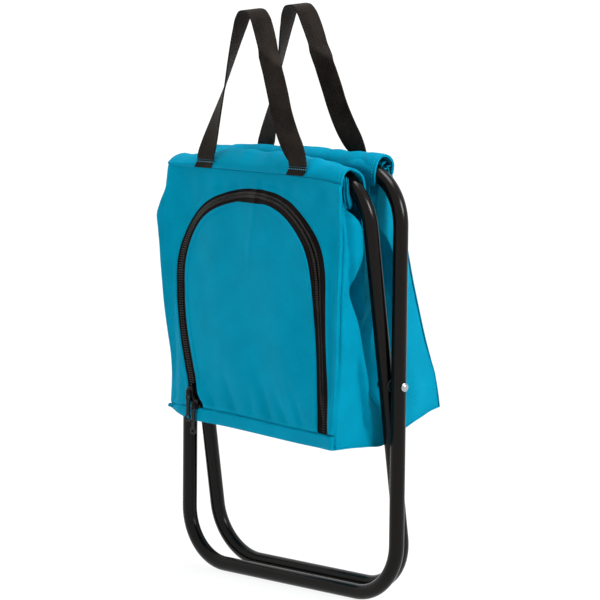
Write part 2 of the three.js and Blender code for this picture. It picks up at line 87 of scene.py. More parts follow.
def ripple(a, b, size, seed):  # soft waves about `size` mm long, the same on every run
    maker = np.random.default_rng(seed)
    total = 0
    for _ in range(7):
        angle, phase = maker.uniform(0, 2 * math.pi, 2)
        length = size * maker.uniform(0.7, 1.5)
        total = total + np.sin((a * math.cos(angle) + b * math.sin(angle)) * 2 * math.pi / length + phase)
    return total / 2.6  # about 1 high


def addObject(name, data):
    item = bpy.data.objects.new(name, data)
    bpy.context.scene.collection.objects.link(item)
    return item


def makeObject(name, points, faces, uv=None):
    mesh = bpy.data.meshes.new(name)
    mesh.from_pydata(toRow(points).tolist(), [], [list(map(int, face)) for face in faces])
    if uv is not None:
        layer = mesh.uv_layers.new(name="cloth")
        corners = np.array([loop.vertex_index for loop in mesh.loops])
        layer.data.foreach_set("uv", np.asarray(uv, np.float32)[corners].ravel())
    mesh.validate()
    return addObject(name, mesh)


def runAlong(points):  # how far along its line each point lies
    return np.concatenate([[0], np.cumsum(np.linalg.norm(np.diff(points, axis=0), axis=1))])


def normalsOf(grid):
    across = np.gradient(grid, axis=1)
    along = np.gradient(grid, axis=0)
    normal = np.cross(across, along)
    return normal / np.maximum(np.linalg.norm(normal, axis=2, keepdims=True), 1e-9)


def clothSheet(name, grid, thick, inward, uvTurn=False):
    # A closed sheet. Its face follows the grid (rows, columns, 3) and its back lies `thick` mm
    # behind, on the side that `inward` points to.
    grid = np.asarray(grid, float)
    normal = normalsOf(grid)
    if inward is not None and np.mean(normal @ np.asarray(inward, float)) > 0:
        grid, normal = grid[:, ::-1], -normalsOf(grid)[:, ::-1]
    rows, columns = grid.shape[:2]
    back = grid - normal * thick
    stepU = np.linalg.norm(np.diff(grid, axis=1), axis=2).mean(0)
    stepV = np.linalg.norm(np.diff(grid, axis=0), axis=2).mean(1)
    u = np.concatenate([[0], np.cumsum(stepU)])
    v = np.concatenate([[0], np.cumsum(stepV)])
    uvGrid = np.stack(np.meshgrid(u, v), -1)  # in mm of cloth
    if uvTurn:
        uvGrid = uvGrid[..., ::-1]
    count = rows * columns
    at = np.arange(count).reshape(rows, columns)
    a, b, c, d = at[:-1, :-1], at[:-1, 1:], at[1:, 1:], at[1:, :-1]
    front = np.stack([a, b, c, d], -1).reshape(-1, 4)
    rear = np.stack([a, d, c, b], -1).reshape(-1, 4) + count
    rim = np.concatenate([at[0, :], at[1:, -1], at[-1, -2::-1], at[-2:0:-1, 0]])
    after = np.roll(rim, -1)
    edge = np.stack([after, rim, rim + count, after + count], -1)
    points = np.concatenate([grid.reshape(-1, 3), back.reshape(-1, 3)])
    uv = np.concatenate([uvGrid.reshape(-1, 2)] * 2)
    piece = makeObject(name, points, np.concatenate([front, rear, edge]), uv)
    shade(piece, 40)
    return piece


def shade(piece, sharpDegrees):
    mesh = piece.data
    mesh.polygons.foreach_set("use_smooth", [True] * len(mesh.polygons))
    mesh.set_sharp_from_angle(angle=math.radians(sharpDegrees))
    mesh.update()


def joined(name, parts):
    bpy.ops.object.select_all(action="DESELECT")
    for part in parts:
        part.select_set(True)
    bpy.context.view_layer.objects.active = parts[0]
    bpy.ops.object.join()
    parts[0].name = name
    parts[0].data.name = name
    return parts[0]


def wear(piece, material):
    piece.data.materials.clear()
    piece.data.materials.append(material)
    return piece


def feed(tree, node, inputs):  # an input, by name or number, gets a socket, a node's first output or a value
    for key, given in inputs.items():
        source = given.outputs[0] if isinstance(given, bpy.types.Node) else given
        if isinstance(source, bpy.types.NodeSocket):
            tree.links.new(source, node.inputs[key])
        else:
            node.inputs[key].default_value = source
    return node


def addNode(tree, kind, inputs=None, **settings):
    node = tree.nodes.new(kind)
    for key, value in settings.items():
        setattr(node, key, value)
    return feed(tree, node, inputs or {})


def colour(hexText):  # sRGB hex to linear
    parts = [int(hexText[i : i + 2], 16) / 255 for i in (0, 2, 4)]
    return [c / 12.92 if c <= 0.04045 else ((c + 0.055) / 1.055) ** 2.4 for c in parts] + [1.0]


def newMaterial(name):
    material = bpy.data.materials.new(name)
    material.use_nodes = True
    tree = material.node_tree
    place = addNode(tree, "ShaderNodeTexCoord").outputs["Object"]
    return material, tree, tree.nodes["Principled BSDF"], place


def twoTones(tree, share, light, deep):  # a Mix node has its colours at inputs 6 and 7 and output 2
    return addNode(tree, "ShaderNodeMix", {0: share, 6: colour(deep), 7: colour(light)}, data_type="RGBA").outputs[2]


def weaveHeight(tree, threadMm, slant):
    # Over and under of a plain weave, or the slanting ribs of a twill, from the piece's own UV in mm.
    uv = addNode(tree, "ShaderNodeUVMap", uv_map="cloth")
    split = addNode(tree, "ShaderNodeSeparateXYZ", {0: uv})
    if slant:
        ribs = {0: split.outputs[0], 1: slant, 2: split.outputs[1]}
        leaned = addNode(tree, "ShaderNodeMath", ribs, operation="MULTIPLY_ADD")
        turns = addNode(tree, "ShaderNodeMath", {0: leaned, 1: 2 * math.pi / (threadMm * 1.4)}, operation="MULTIPLY")
        return addNode(tree, "ShaderNodeMath", {0: turns}, operation="SINE")
    waves = []
    for axis in (0, 1):
        turns = addNode(tree, "ShaderNodeMath", {0: split.outputs[axis], 1: math.pi / threadMm}, operation="MULTIPLY")
        waves.append(addNode(tree, "ShaderNodeMath", {0: turns}, operation="SINE"))
    return addNode(tree, "ShaderNodeMath", {0: waves[0], 1: waves[1]}, operation="MULTIPLY")


def wovenCloth(name, light, deep, threadMm, depthMm, sheen, rough, creaseMm, creaseDepthMm, slant=0.0):
    material, tree, shader, place = newMaterial(name)
    patches = addNode(tree, "ShaderNodeTexNoise", {"Vector": place, "Scale": 38.0, "Detail": 3.0})
    mottle = addNode(tree, "ShaderNodeTexNoise", {"Vector": place, "Scale": 900.0, "Detail": 2.0})
    weave = weaveHeight(tree, threadMm, slant)
    yarnShare = 0.25 if slant else 0.1  # how much of the change of tone is the weave's
    speck = addNode(tree, "ShaderNodeMath", {0: weave, 1: yarnShare, 2: mottle}, operation="MULTIPLY_ADD")
    both = addNode(tree, "ShaderNodeMath", {0: patches, 1: speck}, operation="ADD")
    tone = addNode(tree, "ShaderNodeMapRange", {"Value": both, "From Min": 0.7, "From Max": 1.3})
    creases = addNode(tree, "ShaderNodeTexNoise", {
        "Vector": place, "Scale": 1000 / creaseMm, "Detail": 2.0, "Distortion": 0.6})
    low = addNode(tree, "ShaderNodeBump", {"Height": creases, "Strength": 0.55, "Distance": creaseDepthMm / 1000})
    fine = addNode(tree, "ShaderNodeBump", {
        "Height": weave, "Normal": low, "Strength": 0.5, "Distance": depthMm / 1000})
    glossTint = [min(1, 0.04 + c * 1.6) for c in colour(light)[:3]] + [1]  # dyed yarns gleam in their own colour
    feed(tree, shader, {
        "Base Color": twoTones(tree, tone, light, deep), "Normal": fine, "Roughness": rough,
        "Specular IOR Level": 0.12, "Specular Tint": glossTint,
        "Sheen Weight": sheen, "Sheen Roughness": 0.4, "Sheen Tint": colour(light)})
    return material


def plainFinish(name, light, deep, rough, metal, scale, bumpMm, specular=0.5):
    # A hard finish: two close tones, uneven gloss and a fine orange peel.
    material, tree, shader, place = newMaterial(name)
    blotch = addNode(tree, "ShaderNodeTexNoise", {"Vector": place, "Scale": scale, "Detail": 3.0})
    gloss = addNode(tree, "ShaderNodeMapRange", {"Value": blotch, "To Min": rough - 0.06, "To Max": rough + 0.06})
    peel = addNode(tree, "ShaderNodeTexNoise", {"Vector": place, "Scale": 900.0, "Detail": 1.0})
    bump = addNode(tree, "ShaderNodeBump", {"Height": peel, "Strength": 0.3, "Distance": bumpMm / 1000})
    feed(tree, shader, {
        "Base Color": twoTones(tree, blotch, light, deep), "Roughness": gloss, "Normal": bump,
        "Metallic": metal, "Specular IOR Level": specular})
    return material


# 600-denier polyester canvas with a coated back: matt, an even blue-green with a faint weave. Its yarns
# lie 0.4 mm apart and are drawn coarser so that they show
tealCanvas = wovenCloth("teal_polyester_canvas", "0083a1", "007794", threadMm=0.9, depthMm=0.22,
                        sheen=0.02, rough=0.75, creaseMm=14, creaseDepthMm=0.5)
# polypropylene webbing, a slanting twill rib, dull black with brown in it; the ribs are drawn wide so that they show
blackWebbing = wovenCloth("black_polypropylene_webbing", "2a2521", "0d0b0a", threadMm=1.5, depthMm=0.4,
                          sheen=0.04, rough=0.6, creaseMm=30, creaseDepthMm=0.2, slant=0.7)
# polyester zip tape, dull black; its weave is drawn coarser so that it shows
zipTape = wovenCloth("black_polyester_zip_tape", "1b1817", "0f0d0d", threadMm=0.9, depthMm=0.15,
                     sheen=0.05, rough=0.66, creaseMm=30, creaseDepthMm=0.2)
# powder-coated steel tube: brown-black, glossy, a little orange peel
powderCoat = plainFinish("black_powder_coated_steel", "0b0806", "050403", 0.22, 0.0, 24.0, 0.03, specular=0.15)
# zinc plating on the rivets: bright, a little uneven
zincPlate = plainFinish("bright_zinc_plated_steel", "bcc0c3", "94999d", 0.24, 1.0, 300.0, 0.01)
# moulded nylon washers: black with a soft gloss
mouldedNylon = plainFinish("moulded_black_nylon", "1c1c1e", "121213", 0.5, 0.0, 200.0, 0.02)
# drawn nylon wire of the zip's coils, slightly shiny
coilNylon = plainFinish("black_nylon_zip_coil", "39342f", "1e1a18", 0.36, 0.0, 500.0, 0.01)
# gunmetal plating on the zinc die-cast sliders: dark, with a metal's gleam
gunmetal = plainFinish("gunmetal_plated_zinc", "29292b", "151516", 0.3, 0.8, 400.0, 0.01)
# polyethylene foam faced with silver foil: crinkled, bright, soft gloss
foilFoam = plainFinish("foil_faced_foam", "c9cdd1", "aab0b5", 0.38, 0.55, 120.0, 0.4)
# pale blue-green sewing thread
tealThread = plainFinish("teal_sewing_thread", "4fb9d3", "2fa3c2", 0.6, 0.0, 800.0, 0.02)
# sewing thread dyed to the canvas, a shade lighter than it
matchedThread = plainFinish("canvas_coloured_thread", "0a8fb2", "06769a", 0.65, 0.0, 800.0, 0.02)
print("materials made")

view = {"azimuth": 45.68, "elevation": 9.74, "roll": -2.59, "photoPx": 600, "focalPx": 3208.0,
        "centrePx": (303.8, 309.1), "distance": 3442.0, "aside": 16.4, "above": 65.6}  # degrees and mm


def makeCamera():
    a, e, photo = math.radians(view["azimuth"]), math.radians(view["elevation"]), view["photoPx"]
    back = Vector((math.sin(a) * math.cos(e), -math.cos(a) * math.cos(e), math.sin(e)))
    right = Vector((math.cos(a), math.sin(a), 0))
    up = back.cross(right)
    place = back * view["distance"] + right * view["aside"] + up * view["above"]
    data = bpy.data.cameras.new("camera")
    data.sensor_width = 36
    data.lens = view["focalPx"] / photo * 36
    data.shift_x = (photo / 2 - view["centrePx"][0]) / photo
    data.shift_y = (view["centrePx"][1] - photo / 2) / photo
    data.clip_start, data.clip_end = 0.1, 50
    camera = addObject("camera", data)
    turn = Matrix((right, up, back)).transposed() @ Matrix.Rotation(math.radians(view["roll"]), 3, "Z")
    camera.matrix_world = Matrix.Translation(toRow(place)) @ turn.to_4x4()
    bpy.context.scene.camera = camera


lights = {  # each one's place and width in metres, and its watts
    "key": ((2.35, 0.35, 1.45), 0.8, 62.0),
    "front": ((-0.4, -2.5, 0.9), 1.5, 35.0),
    "top": ((0.5, 0.1, 2.7), 1.2, 64.0),
    "back": ((0.2, 2.4, 1.2), 1.5, 36.0),
    "left": ((-2.2, 0.0, 1.0), 1.2, 24.0),
}
stage = {"dim": 0.1, "white": 1.0, "floorGlow": 1.08, "floorHalf": 9, "floorLevel": -0.0005,
         "fadeNear": 0.35, "fadeFar": 1.1, "fadeLeast": 0.82}  # the floor's shade is gone past fadeFar metres


def makeLight(name, place, size, watts):
    data = bpy.data.lights.new(name, "AREA")
    data.shape, data.size, data.energy = "SQUARE", size, watts
    lamp = addObject(name, data)
    lamp.visible_glossy = name in ("key", "top")  # only these two draw streaks on the tubes
    lamp.location = place
    lamp.rotation_euler = (Vector((0, 0, 0.3)) - Vector(place)).to_track_quat("-Z", "Y").to_euler()


def seenShare(tree):  # 1 for what the camera sees, also in metal or through glass, and 0 for other light
    path = addNode(tree, "ShaderNodeLightPath").outputs
    some = addNode(tree, "ShaderNodeMath", {0: path["Is Camera Ray"], 1: path["Is Transmission Ray"]}, operation="ADD")
    return addNode(tree, "ShaderNodeMath", {0: some, 1: path["Is Glossy Ray"]}, operation="ADD", use_clamp=True)


def makeStage():
    world = bpy.data.worlds.new("studio")
    bpy.context.scene.world = world
    world.use_nodes = True
    tree = world.node_tree
    tree.nodes.clear()
    dim = addNode(tree, "ShaderNodeBackground", {"Color": (1.0, 0.99, 0.98, 1), "Strength": stage["dim"]})
    white = addNode(tree, "ShaderNodeBackground", {"Color": (1, 1, 1, 1), "Strength": stage["white"]})
    mix = addNode(tree, "ShaderNodeMixShader", {0: seenShare(tree), 1: dim, 2: white})
    addNode(tree, "ShaderNodeOutputWorld", {0: mix})

    material, tree, shader, place = newMaterial("pale_floor")
    grain = addNode(tree, "ShaderNodeTexNoise", {"Vector": place, "Scale": 300.0})
    bump = addNode(tree, "ShaderNodeBump", {"Height": grain, "Strength": 0.05, "Distance": 0.0002})
    feed(tree, shader, {"Base Color": (0.82, 0.82, 0.82, 1), "Roughness": 0.7, "Normal": bump})
    glow = addNode(tree, "ShaderNodeEmission", {"Color": (1, 1, 1, 1), "Strength": stage["floorGlow"]})
    far = addNode(tree, "ShaderNodeVectorMath", {0: place}, operation="LENGTH").outputs["Value"]
    share = addNode(tree, "ShaderNodeMapRange", {
        "Value": far, "From Min": stage["fadeNear"], "From Max": stage["fadeFar"],
        "To Min": stage["fadeLeast"], "To Max": 1.0})
    amount = addNode(tree, "ShaderNodeMath", {0: seenShare(tree), 1: share}, operation="MULTIPLY")
    mix = addNode(tree, "ShaderNodeMixShader", {0: amount, 1: shader, 2: glow})
    feed(tree, tree.nodes["Material Output"], {0: mix})
    mesh = bpy.data.meshes.new("floor")
    half, level = stage["floorHalf"], stage["floorLevel"]
    corners = [(-half, -half, level), (half, -half, level), (half, half, level), (-half, half, level)]
    mesh.from_pydata(corners, [], [(0, 1, 2, 3)])
    mesh.materials.append(material)
    addObject("floor", mesh)
    for name, (place, size, watts) in lights.items():
        makeLight(name, place, size, watts)
    bpy.context.scene.view_settings.view_transform = "Standard"


makeCamera()
makeStage()
print("camera and stage made")

tubes = {"radius": 8.0, "reach": 225.0, "corner": 58.0, "outerWidth": 318.0, "innerWidth": 282.0, "halfAngle": 4.4}


def addInputs(tree, floats):
    for name in floats:
        tree.interface.new_socket(name, in_out="INPUT", socket_type="NodeSocketFloat")
    tree.interface.new_socket("Material", in_out="INPUT", socket_type="NodeSocketMaterial")
    tree.interface.new_socket("Geometry", in_out="OUTPUT", socket_type="NodeSocketGeometry")
    return addNode(tree, "NodeGroupInput").outputs, addNode(tree, "NodeGroupOutput")


def endTree(tree, shape, given, result):
    real = addNode(tree, "GeometryNodeRealizeInstances", {"Geometry": shape})
    painted = addNode(tree, "GeometryNodeSetMaterial", {"Geometry": real, "Material": given["Material"]})
    feed(tree, result, {0: painted})
    return tree


def bakeNodes(name, tree, values, source=None):
    # Runs a node tree on an object, with its inputs set by identifier, and keeps the plain mesh.
    base = source or addObject(name + "_source", bpy.data.meshes.new(name + "_source"))
    modifier = base.modifiers.new("shape", "NODES")
    modifier.node_group = tree
    for item in tree.interface.items_tree:
        if item.item_type == "SOCKET" and item.in_out == "INPUT" and item.name in values:
            modifier[item.identifier] = values[item.name]
    bpy.context.view_layer.update()
    graph = bpy.context.evaluated_depsgraph_get()
    mesh = bpy.data.meshes.new_from_object(base.evaluated_get(graph))
    mesh.name = name
    bpy.data.objects.remove(base)
    return addObject(name, mesh)


def loopTree():
    # A rectangle with round corners, swept with a round section and leaned about the pivot axis.
    tree = bpy.data.node_groups.new("bent_tube_loop", "GeometryNodeTree")
    given, result = addInputs(tree, ["Width", "Height", "Corner", "Radius", "Lean", "Lift"])
    sizes = {"Width": given["Width"], "Height": given["Height"]}
    outline = addNode(tree, "GeometryNodeCurvePrimitiveQuadrilateral", sizes)
    rounded = addNode(tree, "GeometryNodeFilletCurve", {
        "Curve": outline, "Radius": given["Corner"], "Count": 22}, mode="POLY")
    section = addNode(tree, "GeometryNodeCurvePrimitiveCircle", {"Radius": given["Radius"], "Resolution": 36})
    swept = addNode(tree, "GeometryNodeCurveToMesh", {"Curve": rounded, "Profile Curve": section})
    soft = addNode(tree, "GeometryNodeSetShadeSmooth", {"Geometry": swept})
    upright = addNode(tree, "ShaderNodeMath", {0: given["Lean"], 1: math.pi / 2}, operation="ADD")
    turn = addNode(tree, "ShaderNodeCombineXYZ", {"X": upright})
    move = addNode(tree, "ShaderNodeCombineXYZ", {"Z": given["Lift"]})
    placed = addNode(tree, "GeometryNodeTransform", {"Geometry": soft, "Translation": move, "Rotation": turn})
    return endTree(tree, placed, given, result)


def makeTubes():
    tree = loopTree()
    for name, side in (("outer", -1), ("inner", 1)):
        piece = bakeNodes(f"{name}_loop", tree, {
            "Width": tubes[f"{name}Width"] / 1000, "Height": 2 * tubes["reach"] / 1000,
            "Corner": tubes["corner"] / 1000, "Radius": tubes["radius"] / 1000,
            "Lean": side * math.radians(tubes["halfAngle"]), "Lift": pivotHeight / 1000, "Material": powderCoat})
        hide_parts(f"{name}_frame_tube")
        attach(piece, f"{name}_frame")


def turned(name, profile, side, steps=48):
    # A profile of (distance out along X, radius) turned about the pivot axis.
    angle = np.linspace(0, 2 * math.pi, steps, endpoint=False)
    rings = [np.stack([np.full(steps, side * along), radius * np.cos(angle), radius * np.sin(angle)], -1)
             for along, radius in profile]
    faces = []
    for ring in range(len(profile) - 1):
        for k in range(steps):
            n = (k + 1) % steps
            quad = [ring * steps + k, ring * steps + n, (ring + 1) * steps + n, (ring + 1) * steps + k]
            faces.append(quad if side > 0 else quad[::-1])
    piece = makeObject(name, np.concatenate(rings), faces)
    mesh = bmesh.new()
    mesh.from_mesh(piece.data)
    bmesh.ops.remove_doubles(mesh, verts=mesh.verts, dist=1e-6)
    bmesh.ops.recalc_face_normals(mesh, faces=mesh.faces)
    mesh.to_mesh(piece.data)
    mesh.free()
    shade(piece, 35)
    return piece


rivets = {"headRadius": 4.7, "headHeight": 3.0, "shank": 2.5, "tailRadius": 4.2, "tailHeight": 1.5, "tailFace": 3.7,
          "gap": 0.3, "washerRadius": 7.0, "washerBore": 2.8, "washerEase": 0.2}


def makePivots():
    outside = tubes["outerWidth"] / 2 + tubes["radius"] + rivets["gap"]
    inside = tubes["innerWidth"] / 2 - tubes["radius"] - rivets["gap"]
    head, tall, shank, tail = (rivets[key] for key in ("headRadius", "headHeight", "shank", "tailRadius"))
    end = inside - rivets["tailHeight"]
    dome = [(outside + tall * math.sin(a), head * math.cos(a)) for a in np.linspace(0.28, math.pi / 2, 9)]
    profile = [(end, 0.0), (end, rivets["tailFace"]), (end + 0.4, tail), (inside, tail), (inside, shank),
               (outside, shank), (outside, head - 0.25), (outside + 0.35, head)] + dome
    profile[-1] = (profile[-1][0], 0.0)
    low = tubes["innerWidth"] / 2 + tubes["radius"] + rivets["gap"]
    high = tubes["outerWidth"] / 2 - tubes["radius"] - rivets["gap"]
    bore, rim, ease = rivets["washerBore"], rivets["washerRadius"], rivets["washerEase"]
    ring = [(low, bore), (low, rim - ease), (low + ease, rim), (high - ease, rim), (high, rim - ease),
            (high, bore), (low, bore)]
    for name, side in (("left", -1), ("right", 1)):
        rivet = wear(turned(f"rivet_{name}_head", profile, side), zincPlate)
        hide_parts(f"rivet_{name}")
        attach(rivet, "pivot_pins")
        washer = wear(turned(f"washer_{name}", ring, side), mouldedNylon)
        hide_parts(f"spacer_{name}")
        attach(washer, "pivot_pins")


makeTubes()
makePivots()
print("frame made")

bag = {"half": 131.0, "baseZ": -52.0, "frontFoot": -68.0, "rearFoot": 79.0, "topY": 42.063, "topZ": 217.137,
       "bandHeight": 15.0, "cloth": 1.1, "foam": 4.0}


def wallLine(foot):  # a wall's lean from upright and its length, from how far out its foot is
    out, up = foot - bag["topY"], bag["topZ"] - bag["baseZ"]
    return math.atan2(out, up), math.hypot(out, up)


frontLean, frontLength = wallLine(-bag["frontFoot"])
rearLean, rearLength = wallLine(bag["rearFoot"])


def canvasPiece(name, node, grid, thick, inward):
    piece = wear(clothSheet(name, grid, thick, inward), tealCanvas)
    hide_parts(node)
    return piece


def liningPad(name, node, grid, inward):
    pad = wear(clothSheet(name, grid, bag["foam"], inward), foilFoam)
    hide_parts(node)
    return pad


zipShape = {  # the arch's width, height and how square its shoulders are; the left leg's lean, knee and foot
    "half": 103.0, "straight": frontLength - 21.9 - 103 + 5, "rise": 98.0, "power": 2.3, "inset": 16.0,
    "knee": 26.0, "kneeBefore": 8, "kneeAfter": 6, "foot": 15.02}
legBows = {  # heights up the wall, and how far each leg strays from its straight line there
    "right": ([15, 60, 120, 150], [10.5, 6, 1, 0.5]),
    "left": ([34, 40, 62, 95, 128, zipShape["straight"]], [3, 3, -0.6, -5.6, -6.8, -5])}


def zipPath():
    # Centre line of the zip from its right foot over the top to its left foot, as (x, s) with s the
    # distance up the wall, and the direction away from the door.
    half, straight, rise, knee = (zipShape[key] for key in ("half", "straight", "rise", "knee"))
    before, after = zipShape["kneeBefore"], zipShape["kneeAfter"]
    tilt = zipShape["inset"] / (straight - bag["bandHeight"])
    s = np.linspace(bag["bandHeight"], straight, 60)
    points = [np.stack([half + through(s, *legBows["right"]), s], -1)]
    angle = np.linspace(0, math.pi, 160)[1:]
    c, sn = np.cos(angle), np.clip(np.sin(angle), 0, 1)
    wave = 1.2 * np.sin(angle * 5 + 0.6) * np.sin(angle)
    bow = np.where(c > 0, 0.5 + 2.0 * smooth(0, 0.6, angle), 5.0 * smooth(0, 0.5, -c))  # wider at the shoulders
    power = 2 / zipShape["power"]
    archX = (half + wave + bow) * np.sign(c) * np.abs(c) ** power
    points.append(np.stack([archX, straight + (rise + wave) * sn**power], -1))
    s = np.linspace(straight, knee + before, 60)[1:]
    points.append(np.stack([-half + (straight - s) * tilt + through(s, *legBows["left"]), s], -1))
    kneeX = -half + (straight - knee) * tilt + 3
    a, b = np.array([kneeX - before * tilt, knee + before]), np.array([kneeX, knee])
    d = np.array([kneeX + after, knee - after])
    t = np.linspace(0, 1, 16)[1:, None]
    points.append((1 - t) ** 2 * a + 2 * t * (1 - t) * b + t**2 * d)
    end = knee - after - bag["bandHeight"]
    points.append(d + np.linspace(0, 1, 8)[1:, None] * [end, -end])
    path = np.concatenate(points)
    run = runAlong(path)
    even = np.linspace(0, run[-1], 440)
    path = np.stack([np.interp(even, run, path[:, 0]), np.interp(even, run, path[:, 1])], -1)
    along = np.gradient(path, axis=0)
    along /= np.linalg.norm(along, axis=1, keepdims=True)
    return path, np.stack([along[:, 1], -along[:, 0]], -1)


zipCentre, zipOut = zipPath()
zipShare = np.linspace(0, 1, len(zipCentre))
# how far the cloth's edges stand from the zip's centre line, by the share of its run
hemReach = through(zipShare, [0, 0.04, 0.12, 0.2, 0.3, 0.4, 0.5, 0.6, 0.75, 1],
                   [8.8, 7.6, 6.8, 7.6, 8, 7.4, 6.4, 6.3, 6.2, 6.6])


def zipOffset(offset, lowest=zipShape["foot"]):
    line = zipCentre + zipOut * (np.asarray(offset, float)[..., None] if np.ndim(offset) else offset)
    line[:, 1] = np.maximum(line[:, 1], lowest)
    return line


def zipDistance(x, s):
    # Signed distance from the zip's centre line in mm, negative on the door, and the place along it.
    points = np.stack([x.ravel(), s.ravel()], -1)
    gap, share = np.empty(len(points)), np.empty(len(points))
    batch = 4000
    for start in range(0, len(points), batch):
        part = points[start : start + batch]
        apart = part[:, None] - zipCentre[None]
        near = (apart**2).sum(-1).argmin(1)
        gap[start : start + batch] = (apart[np.arange(len(part)), near] * zipOut[near]).sum(-1)
        share[start : start + batch] = zipShare[near]
    return gap.reshape(x.shape), share.reshape(x.shape)


puckers = [  # x at the seam, depth, lean, width, height: small tucks that the bottom seam pulls in the cloth
    (-52, -1.3, -0.55, 6, 60), (-22, -1.6, -0.3, 7, 75), (6, -1.2, -0.12, 6, 55), (33, -1.9, -0.38, 7, 85),
    (58, -1.4, -0.5, 6, 60), (82, -1.2, -0.35, 5, 70), (112, -1.6, -0.12, 5, 60), (-118, -1.2, 0.1, 5, 45)]
frontEdges = {  # heights up the front wall, and how far its side strips stand out there
    "right": ([0, 70, 147, 215, 251, 270], [3.6, 1.6, 0.2, 0.6, 2.2, 1.2]),
    "left": ([0, 20, 137, 205, 240, 270], [-7, -8, 0, 6, 6.5, 3])}
rearEdges = {
    "right": ([0, 11, 40, 64, 86, 109, 131, 154, 178, 215, 240, 272],
              [14, 14.3, 13.2, 10.8, 8.2, 5.6, 2.9, 0, -2, -4.5, -8, -9]),
    "left": ([0, 60, 120, 200, 272], [5, 3.5, 0, 2, 0])}


def frontRelief(x, s):
    right = smooth(104, 131, x) * through(s, *frontEdges["right"])
    left = smooth(104, 131, -x) * through(s, *frontEdges["left"])
    gap, _ = zipDistance(x, s)
    proud = 4.5 * smooth(95, 175, s) * smooth(-60, 80, x) + 2.5 * smooth(135, 195, s)  # the door past the wall
    step = proud * (1 - smooth(-10, 9, gap))
    inside = smooth(6, 62, -gap) * smooth(15, 80, s)
    dome = 4.5 * inside - 1.6 * hump(x + 8 + 0.1 * s, 26) * smooth(70, 200, s) * inside
    quiet = 1 - smooth(60, 80, -x) * (1 - smooth(106, 122, -x)) * (1 - smooth(150, 190, s))  # along the sliders' track
    folds = 1.7 * ripple(x, s * 0.3, 60, 3) * smooth(20, 70, s) * (1 - smooth(250, 268, s))
    crease = 1.1 * hump(x - 6 - 0.04 * (s - 200), 4) * smooth(150, 200, s) * (1 - smooth(258, 268, s))
    pulls = sum(depth * hump(x - place - (s - 15) * lean, wide) * smooth(15, 22, s) * (1 - smooth(25, high, s))
                for place, depth, lean, wide, high in puckers)
    tucks = 0.6 * np.sin(x * 2 * math.pi / 23 + 1.2 * np.sin(x / 31)) * smooth(236, 256, s)
    tucks = tucks * (1 - smooth(258, 268, s)) * (1 - smooth(105, 120, np.abs(x)))
    hollow = (-3.4 * hump(x - 121, 6.5) - 2.2 * hump(x + 122, 6)) * smooth(20, 60, s) * (1 - smooth(205, 240, s))
    seam = -2.6 * smooth(128.8, 131, np.abs(x)) - 1.6 * (1 - smooth(15, 18, s)) * smooth(14.6, 15, s)
    return right + left + hollow + step + dome + (folds + pulls * 1.9 + crease) * quiet + tucks + seam


def seamRise(x):  # the sleeve's seam runs higher in the middle and dips at its right end
    return through(np.clip(x, -131, 131), [-131, -70, 0, 70, 105, 131], [4.4, 3.6, 3.2, 2.6, 0.6, -2.4])


def frontDroop(x, s):  # how far the foot's right half hangs and its left corner lifts, and the top seam's rise
    right = -7 * smooth(-75, 131, x) * (1 - smooth(20, 120, s))
    left = -2 * smooth(104, 131, -x) * (1 - smooth(12, 38, s))
    left = left + 12.5 * np.clip((-x - 86) / 45, 0, 1) ** 1.25 * (1 - smooth(0, 15, s))
    return right + left + seamRise(x) * smooth(256, 266, s)


def frontPoint(x, s, out):
    x, s = np.broadcast_arrays(np.asarray(x, float), np.asarray(s, float))
    up = s + frontDroop(x, s)
    n = out + frontRelief(x, s)
    y = bag["frontFoot"] + up * math.sin(frontLean) - n * math.cos(frontLean)
    z = bag["baseZ"] + up * math.cos(frontLean) + n * math.sin(frontLean)
    return np.stack([x, y, z], -1)


def rearRelief(x, s):
    right = smooth(-30, 131, x) * through(s, *rearEdges["right"])
    left = smooth(10, 131, -x) * through(s, *rearEdges["left"])
    folds = 1.5 * ripple(x, s * 0.35, 75, 11) * smooth(10, 60, s) * (1 - smooth(240, 270, s))
    sag = 3.5 * hump(x + 15, 80) * smooth(10, 90, s) * (1 - smooth(140, 250, s))
    pulls = sum(depth * hump(x - place + (s - 5) * lean, 7) * smooth(4, 14, s) * (1 - smooth(20, high, s))
                for place, depth, lean, _, high in puckers)
    tucks = 0.9 * np.sin(x * 2 * math.pi / 27 + 1.5 * np.sin(x / 37)) * smooth(238, 262, s) * (1 - smooth(264, 271, s))
    seam = -1.5 * smooth(129.2, 131, np.abs(x))
    return right + left + folds + sag + pulls + tucks + seam


def rearPoint(x, s, out):
    x, s = np.broadcast_arrays(np.asarray(x, float), np.asarray(s, float))
    up = s + (5 + 4.5 * smooth(-40, 131, x)) * (1 - smooth(0, 110, s))
    n = out + rearRelief(x, s)
    y = bag["rearFoot"] - up * math.sin(rearLean) + n * math.cos(rearLean)
    z = bag["baseZ"] + up * math.cos(rearLean) + n * math.sin(rearLean)
    return np.stack([x, y, z], -1)


def ruled(inner, outer, shares):
    return inner[None] * (1 - shares[:, None, None]) + outer[None] * shares[:, None, None]


def surround(inner, half, top, hemRows, rows):
    # Rows of points from the opening's edge outwards to a rectangle `half` wide and `top` high.
    centre = zipShape["straight"] - 30
    outer = inner.copy()
    for i, (x, s) in enumerate(inner):
        if s <= centre:
            outer[i] = (math.copysign(half, x), s)
        else:
            reach = min(half / max(abs(x), 1e-6), (top - centre) / (s - centre))
            outer[i] = (x * reach, centre + (s - centre) * reach)
    for side in (-1, 1):
        corner = np.array([side * half, top])
        outer[np.argmin(np.linalg.norm(outer - corner, axis=1))] = corner
    away = outer - inner
    away /= np.linalg.norm(away, axis=1, keepdims=True)
    near = np.stack([inner + away * step for step in hemRows])
    rest = ruled(near[-1], outer, np.linspace(0, 1, rows)[1:])
    return np.concatenate([near, rest])


